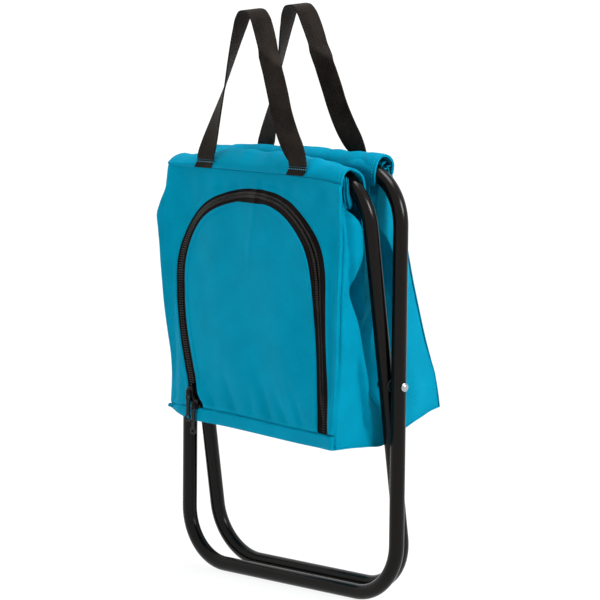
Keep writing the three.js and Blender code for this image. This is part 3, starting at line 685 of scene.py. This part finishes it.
panelHem = {"away": [0, 0.5, 1.2, 2.2, 3.4, 4.6, 5.2, 5.8, 7, 9],  # rows from the zip's edge, and how far out they lie
            "out": [0.9, 1.5, 1.75, 1.75, 1.7, 1.6, 1.3, 1.1, 1.1, 1.2]}


def makeFrontPanel():
    flat = surround(zipOffset(hemReach), bag["half"], frontLength - 0.3, panelHem["away"], 40)
    out = np.concatenate([panelHem["out"], np.full(len(flat) - len(panelHem["out"]), 1.2)])
    grid = frontPoint(flat[..., 0], flat[..., 1], out[:, None])
    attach(canvasPiece("front_wall_panel", "front_panel", grid, bag["cloth"], (0, 1, 0)), "front_wall")
    flat = surround(zipOffset(7.2), bag["half"] - 7, frontLength - 12, [0, 1.5], 16)
    corner = smooth(92, 120, np.abs(flat[..., 0])) * smooth(215, 255, flat[..., 1])
    flat[..., 1] -= 14 * corner  # the lining's top corners are cut round
    grid = frontPoint(flat[..., 0], flat[..., 1], -1.6)
    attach(liningPad("front_lining_pad", "front_insulation", grid, (0, 1, 0)), "front_wall")


def doorGrid(offset, foot, rows, columns):
    # Rows of (x, s) over the door, closer together towards its edges.
    line = zipOffset(offset, foot)
    peak = int(np.argmax(line[:, 1]))
    right, left = line[: peak + 1], line[peak:][::-1]
    half, top, straight = rows // 2, line[peak, 1], zipShape["straight"]
    arch = top - (top - straight) * np.cos(np.linspace(0, math.pi / 2, half))[1:]
    heights = np.concatenate([np.linspace(foot, straight, half), arch])[:-1]
    climb = np.arange(len(line)) * 1e-6
    rightX = np.interp(heights, np.maximum.accumulate(right[:, 1]) + climb[: len(right)], right[:, 0])
    leftX = np.interp(heights, np.maximum.accumulate(left[:, 1]) + climb[: len(left)], left[:, 0])
    t = np.linspace(0, 1, columns)
    u = t - np.sin(t * 2 * math.pi) / (2 * math.pi) * 0.55
    return leftX[:, None] * (1 - u) + rightX[:, None] * u, np.repeat(heights[:, None], columns, 1)


def blendDoor(piece):  # works out two points at the seam along the door's foot, which nothing uses, and bakes the piece in place
    rowPoint(*frontPoint(0, 12, 0))
    rowPoint(*frontPoint(0, 30, 0))
    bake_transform(piece)


def makeDoor():
    x, s = doorGrid(-hemReach, zipShape["foot"], 150, 130)
    gap, share = zipDistance(x, s)
    edge = -gap - np.interp(share, zipShare, hemReach)
    hem = 0.55 * (1 - smooth(4.6, 5.8, edge)) * smooth(-0.5, 1.2, edge) - 0.3 * (1 - smooth(0, 0.6, edge))
    grid = frontPoint(x, s, 1.2 + hem * smooth(16, 24, s))
    flap = canvasPiece("door_flap_panel", "door_flap", grid, bag["cloth"], (0, 1, 0))
    grid = frontPoint(*doorGrid(-13, 18.5, 90, 70), -0.3)
    pad = liningPad("door_lining_pad", "door_insulation", grid, (0, 1, 0))
    blendDoor(flap)
    blendDoor(pad)


def makeBand():
    x = np.concatenate([np.linspace(-bag["half"], -118, 20), np.linspace(-117, bag["half"], 150)])
    s = np.concatenate([np.linspace(0.2, 12.6, 14), [13.4, 14.1, 14.6, 15.0]])
    share = (s - 0.2) / 14.8
    puff = 0.7 * np.clip(np.sin(share * math.pi), 0, 1) ** 0.5
    tuckIn = -1.7 * smooth(0.86, 1, share)
    grid = frontPoint(x[None], s[:, None], 1.3 + (puff + tuckIn)[:, None] + 0 * x[None])
    ear = smooth(122, 131, -x)[None] * smooth(0.2, 0.7, share)[:, None]  # its left end stands out a little
    grid[..., 0] -= 1.2 * ear
    grid[..., 1] -= 0.6 * ear
    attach(canvasPiece("front_bottom_band", "bottom_band", grid, 1.4, (0, 1, 0)), "front_wall")


def makeRearPanel():
    x = np.concatenate([[-131, -130.2, -129.3], np.linspace(-128, 128, 150), [129.3, 130.2, 131]])
    s = np.linspace(0.3, rearLength - 0.3, 160)
    grid = rearPoint(x[None], s[:, None], 1.2)
    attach(canvasPiece("rear_wall_panel", "rear_panel", grid, bag["cloth"], (0, -1, 0)), "rear_wall")
    x = np.linspace(-bag["half"] + 7, bag["half"] - 7, 120)
    s = np.linspace(bag["bandHeight"], rearLength - 12, 120)
    grid = rearPoint(x[None], s[:, None], -0.5)
    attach(liningPad("rear_lining_pad", "rear_insulation", grid, (0, -1, 0)), "rear_wall")


makeFrontPanel()
makeDoor()
makeBand()
makeRearPanel()
print("walls made")

middle = {"share": 0.45, "y": 2.0}  # where the pleat's crease stands between the two walls
baseEdges = {  # share of the way from the front wall to the rear one, and how far the base's side edge sags there
    1: ([0, 0.15, 0.3, 0.45, 0.56, 0.68, 0.76, 0.83, 0.91, 1],
        [0, -4.8, -10.5, -15.5, -11.5, -6.9, -4.4, -2.6, -0.4, 0]),
    -1: ([0, 0.25, 0.5, 0.75, 1], [0, -6, -10, -6, 0])}


def footLine(x):
    return frontPoint(x, 0.2 + 0 * x, 0.0), rearPoint(x, 0.3 + 0 * x, 0.0)


def baseEdge(side, t):
    front, rear = footLine(np.array(side * bag["half"]))
    point = front * (1 - t[..., None]) + rear * t[..., None]
    point[..., 2] = front[2] * (1 - t) + rear[2] * t + through(t, *baseEdges[side])
    return point


def makeBase():
    x = np.linspace(-bag["half"], bag["half"], 120)
    front, rear = footLine(x)
    t = np.linspace(0, 1, 90)[:, None]
    grid = front[None] * (1 - t[..., None]) + rear[None] * t[..., None]
    share = (x[None] / bag["half"] + 1) / 2
    sag = through(t, *baseEdges[-1]) * (1 - share) + through(t, *baseEdges[1]) * share
    inner = np.sin(t * math.pi) * np.sin(share * math.pi)
    grid[..., 2] += sag + 1.6 * ripple(grid[..., 0], grid[..., 1], 60, 21) * inner - 2.0 * inner
    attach(canvasPiece("base_panel_cloth", "base_panel", grid, 1.2, (0, 0, 1)), "bag_base")
    grid = grid[7:-7, 7:-7] + [0, 0, 1.8 + bag["foam"]]
    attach(liningPad("base_lining_pad", "base_insulation", grid, (0, 0, -1)), "bag_base")


foldHeights = [-62, -39, 16, 60, 108, 121, 134, 153, 168, 180, 205]
pleats = {  # y of the outer fold and how far the cloth swells out beside it, by height
    (1, -1): ([2, -7, -17, -25, -33, -27, -21, -19, -21, -27, -40], [0, 0.5, 1.5, 2, 1.5, 3, 5.5, 7, 7, 5, 1]),
    (-1, -1): ([2, -9, -20, -24, -27, -27, -26, -25, -26, -30, -40], [0, 1, 5, 9.5, 11, 11.5, 12, 15, 17, 11, 1]),
    (1, 1): ([2, 10, 22, 28, 31, 30, 28, 18, 8, 7, 12], [0, 0.5, 1, 1.5, 2, 2, 2, 3, 3.5, 3, 1]),
    (-1, 1): ([2, 9, 20, 25, 28, 27, 25, 22, 18, 16, 14], [0, 0.5, 2, 4, 5, 5, 5, 5, 4, 3, 1])}
pleatDepth = ([-62, -44, -12, 20, 49, 70, 82, 110, 210], [0, 4, 20, 34, 30, 15, 8, 7.5, 7])
sideDip = ([-62, -12, 49, 80, 109, 153, 178, 205], [0, 0, 6, 20, 26, 24, 20, 16])  # clear of the seat's cloths
gussetTops = {(1, -1): [198, 184, 169, 160], (-1, -1): [200, 190, 178, 162],
              (1, 1): [213, 210, 202, 168], (-1, 1): [211, 206, 196, 166]}


def gussetPoint(side, wall, u, v):
    # u runs from the wall's seam (0) over the outer fold (0.5) to the middle crease (1); v from the base up,
    # and past 1 where the top hem turns in.
    foldY, swell = pleats[side, wall]
    reach = middle["share"] if wall < 0 else 1 - middle["share"]
    foot = baseEdge(side, u * reach if wall < 0 else 1 - u * reach)
    rise, turn = np.clip(v, 0, 1), np.clip(v - 1, 0, 1)
    z = foot[..., 2] + rise * (through(u, [0, 0.25, 0.5, 1], gussetTops[side, wall]) - foot[..., 2])
    lean, pointOn, least = (frontLean, frontPoint, 0.2) if wall < 0 else (rearLean, rearPoint, 0.3)
    s = (z - bag["baseZ"]) / math.cos(lean)
    for _ in range(3):  # steps to the point of the wall's seam at the same height
        s = s - (pointOn(side * bag["half"], np.clip(s, least, 266), 0)[..., 2] - z)
    seamY = pointOn(side * bag["half"], np.clip(s, least, 266), 0)[..., 1]
    fold = through(z, foldHeights, foldY)
    bulge = through(z, foldHeights, swell)
    outer, inner = np.clip(u / 0.5, 0, 1), np.clip((u - 0.5) / 0.5, 0, 1)
    early = np.sin(outer * math.pi / 2) ** 1.15 if (side, wall) != (-1, -1) else 1 - np.cos(outer * math.pi / 2)
    y = seamY + (fold - seamY) * early
    y = y + (middle["y"] - fold) * (1 - np.cos(inner * math.pi)) / 2
    skirt = smooth(0, 0.3, rise)
    y = foot[..., 1] * (1 - skirt) + y * skirt
    edge = wall * 11.5
    across = np.clip((y - fold) / np.where(np.abs(edge - fold) < 1, 1, edge - fold), 0, 1)
    room = np.clip(wall * (fold - edge), 0, 30)
    dip = np.minimum(through(z, *sideDip), room * 1.3) * np.sin(across * math.pi) ** 0.8 * (inner > 0)
    x = bag["half"] - 0.8 + bulge * np.sin(np.clip(u / 0.56, 0, 1) * math.pi) ** (0.6 if side > 0 else 0.38)
    x = x - through(z, *pleatDepth) * smooth(0, 1, inner) * skirt - dip * skirt
    valley = (3.6 if wall < 0 else 0.7) * (1 - smooth(0, 0.045, u))  # beside the wall's seam
    x = x - valley + 1.0 * ripple(y, z * 0.5, 50, 31 + (side > 0)) * smooth(0.06, 0.3, u) * smooth(0, 0.15, rise)
    if side > 0 and wall < 0:  # creases on the side that the camera sees best
        x = x - 6.0 * hump(y + 19 + (z + 40) * 0.14, 4.0) * (1 - smooth(10, 40, z)) * smooth(0.01, 0.12, rise)
        ridge = 2.4 * hump(y + 48 + (z - 60) * 0.05, 7) * smooth(0, 60, z) * (1 - smooth(150, 175, z))
        furrow = 5.2 * hump(y + 37 + (z - 150) * 0.05, 3.8) * smooth(70, 120, z) * (1 - smooth(182, 202, z))
        x = x + ridge - furrow
    x = x - turn * 20 + 2.0 * turn * ripple(y, z, 16, 71)
    if (side, wall) == (-1, -1):
        y = y - 2.6 * np.sin(np.clip(u / 0.22, 0, 1) * math.pi) * smooth(0.1, 0.35, rise) * (1 - smooth(0.93, 1, rise))
    y = y - wall * turn * (3 + 9 * (1 - smooth(0, 0.3, u)))  # the top hem turns into the bag
    z = z + 5 * np.sin(turn * math.pi / 2) * np.where(u < 0.5, 1, 0.4) + 1.0 * turn * ripple(y, x, 14, 73)
    return np.stack([side * x, y, z], -1)


def makeGussets():
    u = np.concatenate([[0, 0.012, 0.03], np.linspace(0.05, 0.42, 30), np.linspace(0.43, 0.6, 24),
                        np.linspace(0.615, 1, 32)])
    v = np.concatenate([np.linspace(0, 1, 120), [1.02, 1.06, 1.15, 1.3, 1.5, 1.75, 2]])
    for sideName, side in (("left", -1), ("right", 1)):
        for wallName, wall in walls:
            grid = gussetPoint(side, wall, u[None] + 0 * v[:, None], v[:, None] + 0 * u[None])
            half = f"{sideName}_{wallName}"
            piece = canvasPiece(f"gusset_cloth_{half}", f"gusset_{half}", grid, 1.0, (-side, 0.0, 0))
            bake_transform(piece)


makeBase()
makeGussets()
print("base and gussets made")

barLean = math.radians(tubes["halfAngle"])
bar = {"y": tubes["reach"] * math.sin(barLean), "z": tubes["reach"] * math.cos(barLean)}
sleeve = {"half": 129.5, "thick": 1.4, "webHalf": 86.0, "clear": 9.9, "seamStitches": 0.035}
# Sections round the bar, from the wall's seam over the top to the inner hem, counted from the bar's
# centre with outwards positive: in the middle, and at the free ends where the cloth sinks and curls.
sectionMiddle = [
    (24.4, -8.2), (26.2, -4.5), (26.6, -0.5), (25.2, 4.5), (21.5, 8.6), (16.0, 12.2), (10.0, 14.9), (4.0, 15.9),
    (-1.8, 14.8), (-6.6, 11.9), (-9.5, 7.8), (-10.3, 3.0), (-10.3, -4.0), (-10.2, -11.0), (-9.6, -17.0)]
sectionEnds = {
    ("front", 1): [
        (23.4, -9.4), (24.4, -6.4), (23.8, -3.0), (22.0, 0.4), (19.4, 3.4), (16.0, 5.6), (12.0, 6.7), (7.8, 6.6),
        (3.2, 5.2), (-1.4, 2.4), (-5.6, -1.0), (-8.8, -5.4), (-10.4, -10.6), (-10.9, -16.0), (-11.0, -21.0)],
    ("front", -1): [
        (25.0, -8.4), (28.0, -6.2), (28.6, -3.2), (26.8, 0.2), (23.2, 3.0), (18.6, 5.0), (13.4, 6.2), (7.8, 6.6),
        (2.4, 5.4), (-2.6, 3.4), (-6.6, 0.4), (-9.2, -3.4), (-10.2, -8.0), (-10.4, -12.8), (-10.2, -17.6)],
    ("rear", 1): [
        (16.6, -9.4), (18.6, -6.4), (19.8, -2.2), (20.2, 2.5), (18.6, 6.8), (15.6, 10.4), (11.2, 13.0), (6.4, 14.0),
        (1.6, 13.2), (-2.8, 10.6), (-6.0, 6.6), (-8.4, 1.6), (-10.0, -4.4), (-10.4, -10.6), (-10.2, -17.0)],
    ("rear", -1): [
        (24.0, -8.6), (25.4, -5.4), (25.4, -1.6), (23.8, 2.4), (20.4, 6.0), (15.8, 8.8), (10.8, 10.4), (5.8, 10.6),
        (1.0, 9.4), (-3.4, 7.0), (-6.8, 3.4), (-9.0, -1.2), (-10.2, -6.6), (-10.6, -12.2), (-10.4, -17.6)]}


def roundSection(points, t):
    points = np.array(points)
    run = runAlong(points)
    return through(t * run[-1], run, points[:, 0]), through(t * run[-1], run, points[:, 1])


def sleevePoint(name, x, t, inset=0.0):  # t runs round the section, and `inset` is how far below the cloth's face
    side = -1 if name == "front" else 1
    x, t = np.broadcast_arrays(np.asarray(x, float), np.asarray(t, float))
    across, up = roundSection(sectionMiddle, t)
    for end in (-1, 1):
        share = smooth(38, sleeve["half"], end * x)
        endAcross, endUp = roundSection(sectionEnds[name, end], t)
        across, up = across + (endAcross - across) * share, up + (endUp - up) * share
    if side < 0:
        up = up + seamRise(x) * (1 - smooth(0, 0.2, t))
    free = np.sin(np.clip(t, 0, 1) * math.pi) ** 0.8  # seam and hem stay put
    seed = 41 if side < 0 else 47
    lift = (0.6 * ripple(x, t * 60, 70, seed) + 0.45 * ripple(x, t * 40, 24, seed + 3)) * free
    lift = lift + 0.6 * free * sum(hump(x - place - 30 * (t - 0.4), 5) for place in (-96, 44, 108)) - inset
    dx, dz = across - 6, up + 2
    length = np.maximum(np.hypot(dx, dz), 1e-6)
    across, up = across + dx / length * lift, up + dz / length * lift
    # where the bar bends down at its ends, the cloth stays clear of it
    corner, clear = tubes["corner"], sleeve["clear"]
    bend = np.clip(np.abs(x) - (tubes["innerWidth" if side < 0 else "outerWidth"] / 2 - corner), 0, 50)
    drop = corner - np.sqrt(corner**2 - bend**2)
    tall = clear / np.sqrt(1 - (bend / corner) ** 2)
    da, du = across + drop * math.tan(barLean), up + drop
    push = np.maximum(1 / np.maximum(np.hypot(da / (clear - inset), du / (tall - inset)), 1e-6), 1)
    across, up = across + da * (push - 1), up + du * (push - 1)
    return np.stack([x, side * (bar["y"] + across), bar["z"] + up], -1)


apron = ((127.6, 19.5, 22, 27), (126.0, 15.0, 21, 32), (124.0, 10.5, 20, 28))  # each layer's x, y, width and drop


def endApron(name, side, end):  # cloth gathered behind the wall's top corner
    a, b = np.linspace(0, 1, 40)[None], np.linspace(0, 1, 26)[:, None]
    back = 6 if (name, end) == ("rear", 1) else 0
    layers = []
    for layer, (near, far, reach, high) in enumerate(apron):
        waves = (1.6 + 0.3 * layer) * np.sin(a * math.pi * (4.4 + layer) + 0.7 + 2 * layer + 0.8 * b)
        waves = waves * smooth(0, 0.35, b)
        grid = np.stack(np.broadcast_arrays(
            end * (near - reach * a + 1.2 * np.sin(b * 6 + layer)),
            side * (bar["y"] + far - back - 3.5 * b - 1.5 * a + waves),
            bar["z"] - 1 - 2 * layer - (high + 2 * np.sin(a * 7 + layer)) * b), -1)
        layers.append(clothSheet(f"{name}_apron", grid, 0.9, (0, -side, 0)))
    return layers


def rearCurl():  # the rear sleeve's right end rolls up into it
    turn, curl = np.linspace(0, 1, 26)[:, None], np.linspace(0, 1, 14)[None]
    angle = 0.5 - turn * 6.2
    radius = (7.4 - 5.4 * turn) * (1 + 0.3 * np.sin(2 * angle + 0.5) + 0.12 * np.sin(5 * angle + 3 * curl))
    grid = np.stack(np.broadcast_arrays(
        110 + 17.5 * curl - 3 * turn, bar["y"] + 12.0 + radius * np.cos(angle) * 1.1 - 2 * turn,
        bar["z"] + 1.0 + radius * np.sin(angle) + 2.0 * curl), -1)
    return clothSheet("rear_curl", grid, 1.0, (0, -1, 0))


def makeSleeves():
    x = np.concatenate([np.linspace(-sleeve["half"], -116, 16), np.linspace(-114, 114, 140),
                        np.linspace(116, sleeve["half"], 16)])
    t = np.linspace(0, 1, 72)
    for name, side in walls:
        inward = (0, -side * 0.4, -1)
        parts = [clothSheet(f"{name}_sleeve_cover", sleevePoint(name, x[None], t[:, None]), sleeve["thick"], inward)]
        for end in (-1, 1):
            hemX = np.linspace(121, 129.3, 8) * end
            hem = sleevePoint(name, hemX[None], t[3:-2, None], 1.55)  # the end is turned in double
            parts += [clothSheet(f"{name}_hem", hem, 1.0, inward)] + endApron(name, side, end)
        if name == "rear":
            parts.append(rearCurl())
        webX = np.linspace(-sleeve["webHalf"], sleeve["webHalf"], 60)[None]
        across = np.linspace(22.8, -9.0, 24)[:, None]
        grid = np.stack(np.broadcast_arrays(
            webX, side * (bar["y"] + across), bar["z"] - 17.2 + 0.6 * ripple(webX, across, 40, 51)), -1)
        parts.append(clothSheet(f"{name}_sleeve_web", grid, 1.2, (0, 0, 1)))
        piece = wear(joined(f"{name}_sleeve_cloth", parts), tealCanvas)
        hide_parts(f"{name}_sleeve")
        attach(piece, f"{name}_wall")


seat = {"half": 121.5, "length": 144.03, "start": 6, "lift": 8.3}
seat["hang"] = math.asin((bar["y"] - seat["lift"] - 1.4 - 0.5) / seat["length"])  # the halves end just apart


def makeSeat():
    hang, long = seat["hang"], seat["length"]
    x = np.linspace(-seat["half"], seat["half"], 120)
    down = np.concatenate([np.linspace(seat["start"], 20, 12), np.linspace(22, long + 0.3, 90)])
    X, D = np.meshgrid(x, down)
    wave = 0.35 * ripple(X, D * 0.5, 80, 61) * smooth(20, 60, D) * (1 - smooth(120, 143, D))
    offset = seat["lift"] + 0.05 + wave * 0.5
    y = bar["y"] - offset * math.cos(hang) - D * math.sin(hang) * smooth(-2, 25, D)
    z = bar["z"] - D * math.cos(hang)
    for name, side in walls:
        piece = canvasPiece(f"seat_cloth_{name}", f"seat_{name}", np.stack([X, side * y, z], -1), 1.0, (0, -side, 0))
        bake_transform(piece)


makeSleeves()
makeSeat()
print("sleeves and seat made")

tape = {"near": 0.6, "far": 11.0, "thick": 0.7}
# a real coil has a turn every 1.2 mm; set wider here so that it shows
coil = {"offset": 1.7, "teeth": {"Spacing": 2.6, "Length": 4.4, "Thickness": 1.5, "Height": 2.4}}


def zipRibbon(name, near, far, stop):
    shares = np.linspace(0, 1, 13)
    flat = ruled(zipOffset(near)[:stop], zipOffset(far)[:stop], shares)
    rib = 0.25 * np.cos(shares * 5 * math.pi)[:, None]  # the tape's raised cords beside the coil
    return clothSheet(name, frontPoint(flat[..., 0], flat[..., 1], rib), tape["thick"], (0, 1, 0))


def toothTree():
    # Small loops of nylon, or stitches, set along a curve a fixed distance apart and square to it.
    tree = bpy.data.node_groups.new("zip_teeth", "GeometryNodeTree")
    tree.interface.new_socket("Curve", in_out="INPUT", socket_type="NodeSocketGeometry")
    given, result = addInputs(tree, ["Spacing", "Length", "Thickness", "Height"])
    run = {"Curve": given["Curve"], "Length": given["Spacing"]}
    spaced = addNode(tree, "GeometryNodeResampleCurve", run, mode="LENGTH")
    size = addNode(tree, "ShaderNodeCombineXYZ", {"X": given["Thickness"], "Y": given["Length"], "Z": given["Height"]})
    tooth = addNode(tree, "GeometryNodeMeshCube", {"Size": size})
    rounded = addNode(tree, "GeometryNodeSubdivisionSurface", {"Mesh": tooth, "Level": 1})
    tangent, normal = addNode(tree, "GeometryNodeInputTangent"), addNode(tree, "GeometryNodeInputNormal")
    face = addNode(tree, "FunctionNodeAlignEulerToVector", {"Vector": tangent}, axis="X")
    lay = addNode(tree, "FunctionNodeAlignEulerToVector", {
        "Rotation": face, "Vector": normal}, axis="Z", pivot_axis="X")
    placed = addNode(tree, "GeometryNodeInstanceOnPoints", {"Points": spaced, "Instance": rounded, "Rotation": lay})
    soft = addNode(tree, "GeometryNodeSetShadeSmooth", {"Geometry": placed})
    return endTree(tree, soft, given, result)


teethTree = toothTree()


def teethAlong(name, points, sizes, material):  # `sizes` are the tree's inputs in mm
    curve = bpy.data.curves.new(name + "_path", "CURVE")
    curve.dimensions = "3D"
    curve.twist_mode = "Z_UP"
    spline = curve.splines.new("POLY")
    spline.points.add(len(points) - 1)
    row = toRow(points)
    spline.points.foreach_set("co", np.concatenate([row, np.ones((len(row), 1))], 1).ravel())
    values = {key: mm / 1000 for key, mm in sizes.items()}
    return bakeNodes(name, teethTree, {**values, "Material": material}, addObject(name + "_path", curve))


def makeZip():
    doorStop = int(np.argmax((zipCentre[:, 1] < 41) & (zipCentre[:, 0] < 0)))  # above the parked sliders
    for name, way, start, stop in (("frame", 1, 2, None), ("door", -1, 4, doorStop)):
        ribbon = zipRibbon(f"zip_tape_{name}_cloth", way * tape["near"], way * tape["far"], stop)
        wear(ribbon, zipTape)
        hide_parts(f"zip_tape_{name}")
        line = zipOffset(way * coil["offset"], 16)[start:stop]
        points = frontPoint(line[:, 0], line[:, 1], 1.0)
        teeth = teethAlong(f"zip_coil_{name}_teeth", points, coil["teeth"], coilNylon)
        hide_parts(f"zip_coil_{name}")
        for piece in (ribbon, teeth):
            if name == "door":
                blendDoor(piece)
            else:
                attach(piece, "front_wall")


def metalCopy(node, name, body, bevelMm):
    # A smooth-edged copy of a small cast or stamped solid.
    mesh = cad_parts[node].data.copy()
    piece = addObject(name, mesh)
    work = bmesh.new()
    work.from_mesh(mesh)
    bmesh.ops.remove_doubles(work, verts=work.verts, dist=2e-6)
    bmesh.ops.dissolve_limit(work, angle_limit=math.radians(1.5), verts=work.verts, edges=work.edges)
    work.to_mesh(mesh)
    work.free()
    bevel = piece.modifiers.new("edges", "BEVEL")
    bevel.width, bevel.segments = bevelMm / 1000, 2
    bevel.limit_method, bevel.angle_limit = "ANGLE", math.radians(35)
    graph = bpy.context.evaluated_depsgraph_get()
    plain = bpy.data.meshes.new_from_object(piece.evaluated_get(graph))
    piece.modifiers.clear()
    piece.data = plain
    wear(piece, gunmetal)
    shade(piece, 50)
    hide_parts(node)
    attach(piece, body)


def makeSliders():
    for name in ("upper", "lower"):
        metalCopy(f"zip_slider_{name}", f"slider_{name}_body", f"slider_{name}", 0.25)
        metalCopy(f"zip_pull_{name}", f"pull_{name}_tab", f"pull_{name}", 0.2)


makeZip()
makeSliders()
print("zip made")

handle = {"half": 70.0, "y": bar["y"] + 26.6 + 0.9, "fold": bar["z"] + 5.8, "rise": 160.0,
          "footLow": bag["topZ"] + 1.2, "footOut": 0.8, "width": 25.0, "thick": 1.6, "lean": 11.0}
handleStations = [  # share of the half spacing, share of the rise, quarter turns of the strap's twist
    (-1, 0, 0), (-0.99, 0.035, 0.02), (-0.94, 0.085, 0.06), (-0.76, 0.28, 0.28), (-0.57, 0.49, 0.5),
    (-0.415, 0.685, 0.68), (-0.257, 0.87, 0.85), (-0.17, 0.955, 0.93), (-0.09, 0.992, 0.98), (0, 1, 1),
    (0.1, 0.992, 1.04), (0.18, 0.955, 1.08), (0.26, 0.88, 1.1), (0.325, 0.8, 1.08), (0.385, 0.71, 1.1),
    (0.4, 0.69, 1.2), (0.415, 0.665, 1.76), (0.43, 0.645, 1.88), (0.48, 0.58, 1.88), (0.57, 0.46, 1.86),
    (0.66, 0.33, 1.86), (0.8, 0.19, 1.85), (0.94, 0.085, 1.92), (0.99, 0.035, 1.98), (1, 0, 2)]
foldStation = 16  # the one where the right strand folds over


def strapGrid(side):
    share, height, twist = np.array(handleStations).T
    steps = np.hypot(np.diff(share) * handle["half"], np.diff(height) * handle["rise"])
    run = np.concatenate([[0], np.cumsum(steps)])
    t = np.linspace(0, run[-1], 240)
    w = np.linspace(-1, 1, 15)
    x, rise = through(t, run, share), through(t, run, height)
    back = handle["lean"] * np.clip(rise, 0, 1)
    centre = np.stack([x * handle["half"], side * (handle["y"] - back), handle["fold"] + rise * handle["rise"]], -1)
    slant = 10.0 * hump(t - run[foldStation], 24)  # the fold in the right strand runs slantwise
    turn = np.clip(through(t[:, None] + slant[:, None] * w[None], run, twist), 0, 2)
    angle = -turn * math.pi / 2
    wide = np.stack([np.cos(angle), np.sin(angle), 0 * angle], -1)
    along = np.gradient(centre, axis=0)
    along /= np.linalg.norm(along, axis=1, keepdims=True)
    square = smooth(0, 22, np.minimum(t, run[-1] - t))[:, None, None]  # level at its feet, else square to its run
    wide = wide - square * along[:, None] * np.einsum("twc,tc->tw", wide, along)[..., None]
    wide /= np.linalg.norm(wide, axis=2, keepdims=True)
    steps = (wide[:, 1:] + wide[:, :-1]) / 2 * (handle["width"] / (len(w) - 1))
    spread = np.concatenate([0 * steps[:, :1], np.cumsum(steps, axis=1)], axis=1)
    return centre[:, None] + spread - spread.mean(1, keepdims=True)


stitch = {"Length": 0.7, "Thickness": 2.3, "Height": 0.6}


def stitchRow(name, points, gapMm, material, body):
    thread = teethAlong(name, points, {**stitch, "Spacing": gapMm}, material)
    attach(thread, body)


def handleFoot(name, side, footName, foot):
    middleX, outY = foot * handle["half"], handle["y"] + handle["footOut"]
    x = middleX + np.linspace(-handle["width"] / 2, handle["width"] / 2, 12)
    z = np.linspace(handle["footLow"] + (2.6 if side < 0 else 0), handle["fold"] - 0.5, 12)
    askew = 5.5 * np.linspace(1, 0, 12) ** 1.3  # the feet are sewn down a little aslant
    grid = np.stack(np.broadcast_arrays(x[None] - askew[:, None], side * outY, z[:, None]), -1)
    patch = clothSheet(f"{name}_handle_end_{footName}", grid, handle["thick"], (0, -side, 0))
    wear(patch, blackWebbing)
    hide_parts(f"{name}_handle_foot_{footName}")
    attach(patch, f"{name}_wall")
    start, end = (np.array([middleX + reach, side * outY, handle["fold"] - 2.4]) for reach in (-12, 12))
    points = np.linspace(0, 1, 12)[:, None] * (end - start) + start + np.array([0, side, 0]) * 0.15
    stitchRow(f"{name}_handle_stitches_{footName}", points, 3.0, tealThread, f"{name}_wall")


def makeHandles():
    for name, side in walls:
        grid = strapGrid(side)
        grid = grid + normalsOf(grid) * handle["thick"] / 2
        strap = clothSheet(f"{name}_handle_webbing", grid, handle["thick"], None, uvTurn=True)
        wear(strap, blackWebbing)
        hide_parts(f"{name}_handle")
        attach(strap, f"{name}_handle_loop")
        for footName, foot in (("left", -1), ("right", 1)):
            handleFoot(name, side, footName, foot)


def makeTopstitch():  # thread along the sleeves' seams and end hems, a little proud of the cloth
    for name, side in walls:
        x = np.linspace(-128, 128, 160)
        points = sleevePoint(name, x, sleeve["seamStitches"]) + [0, side * 0.15, 0.05]
        stitchRow(f"{name}_sleeve_stitches_low", points, 3.2, matchedThread, f"{name}_wall")
        t = np.linspace(0.04, 0.86, 60)
        for endName, end in (("left", -1), ("right", 1)):
            points = sleevePoint(name, end * 125.5, t, -0.15)
            stitchRow(f"{name}_sleeve_stitches_{endName}", points, 3.2, matchedThread, f"{name}_wall")


makeHandles()
makeTopstitch()
print("handles and stitching made")
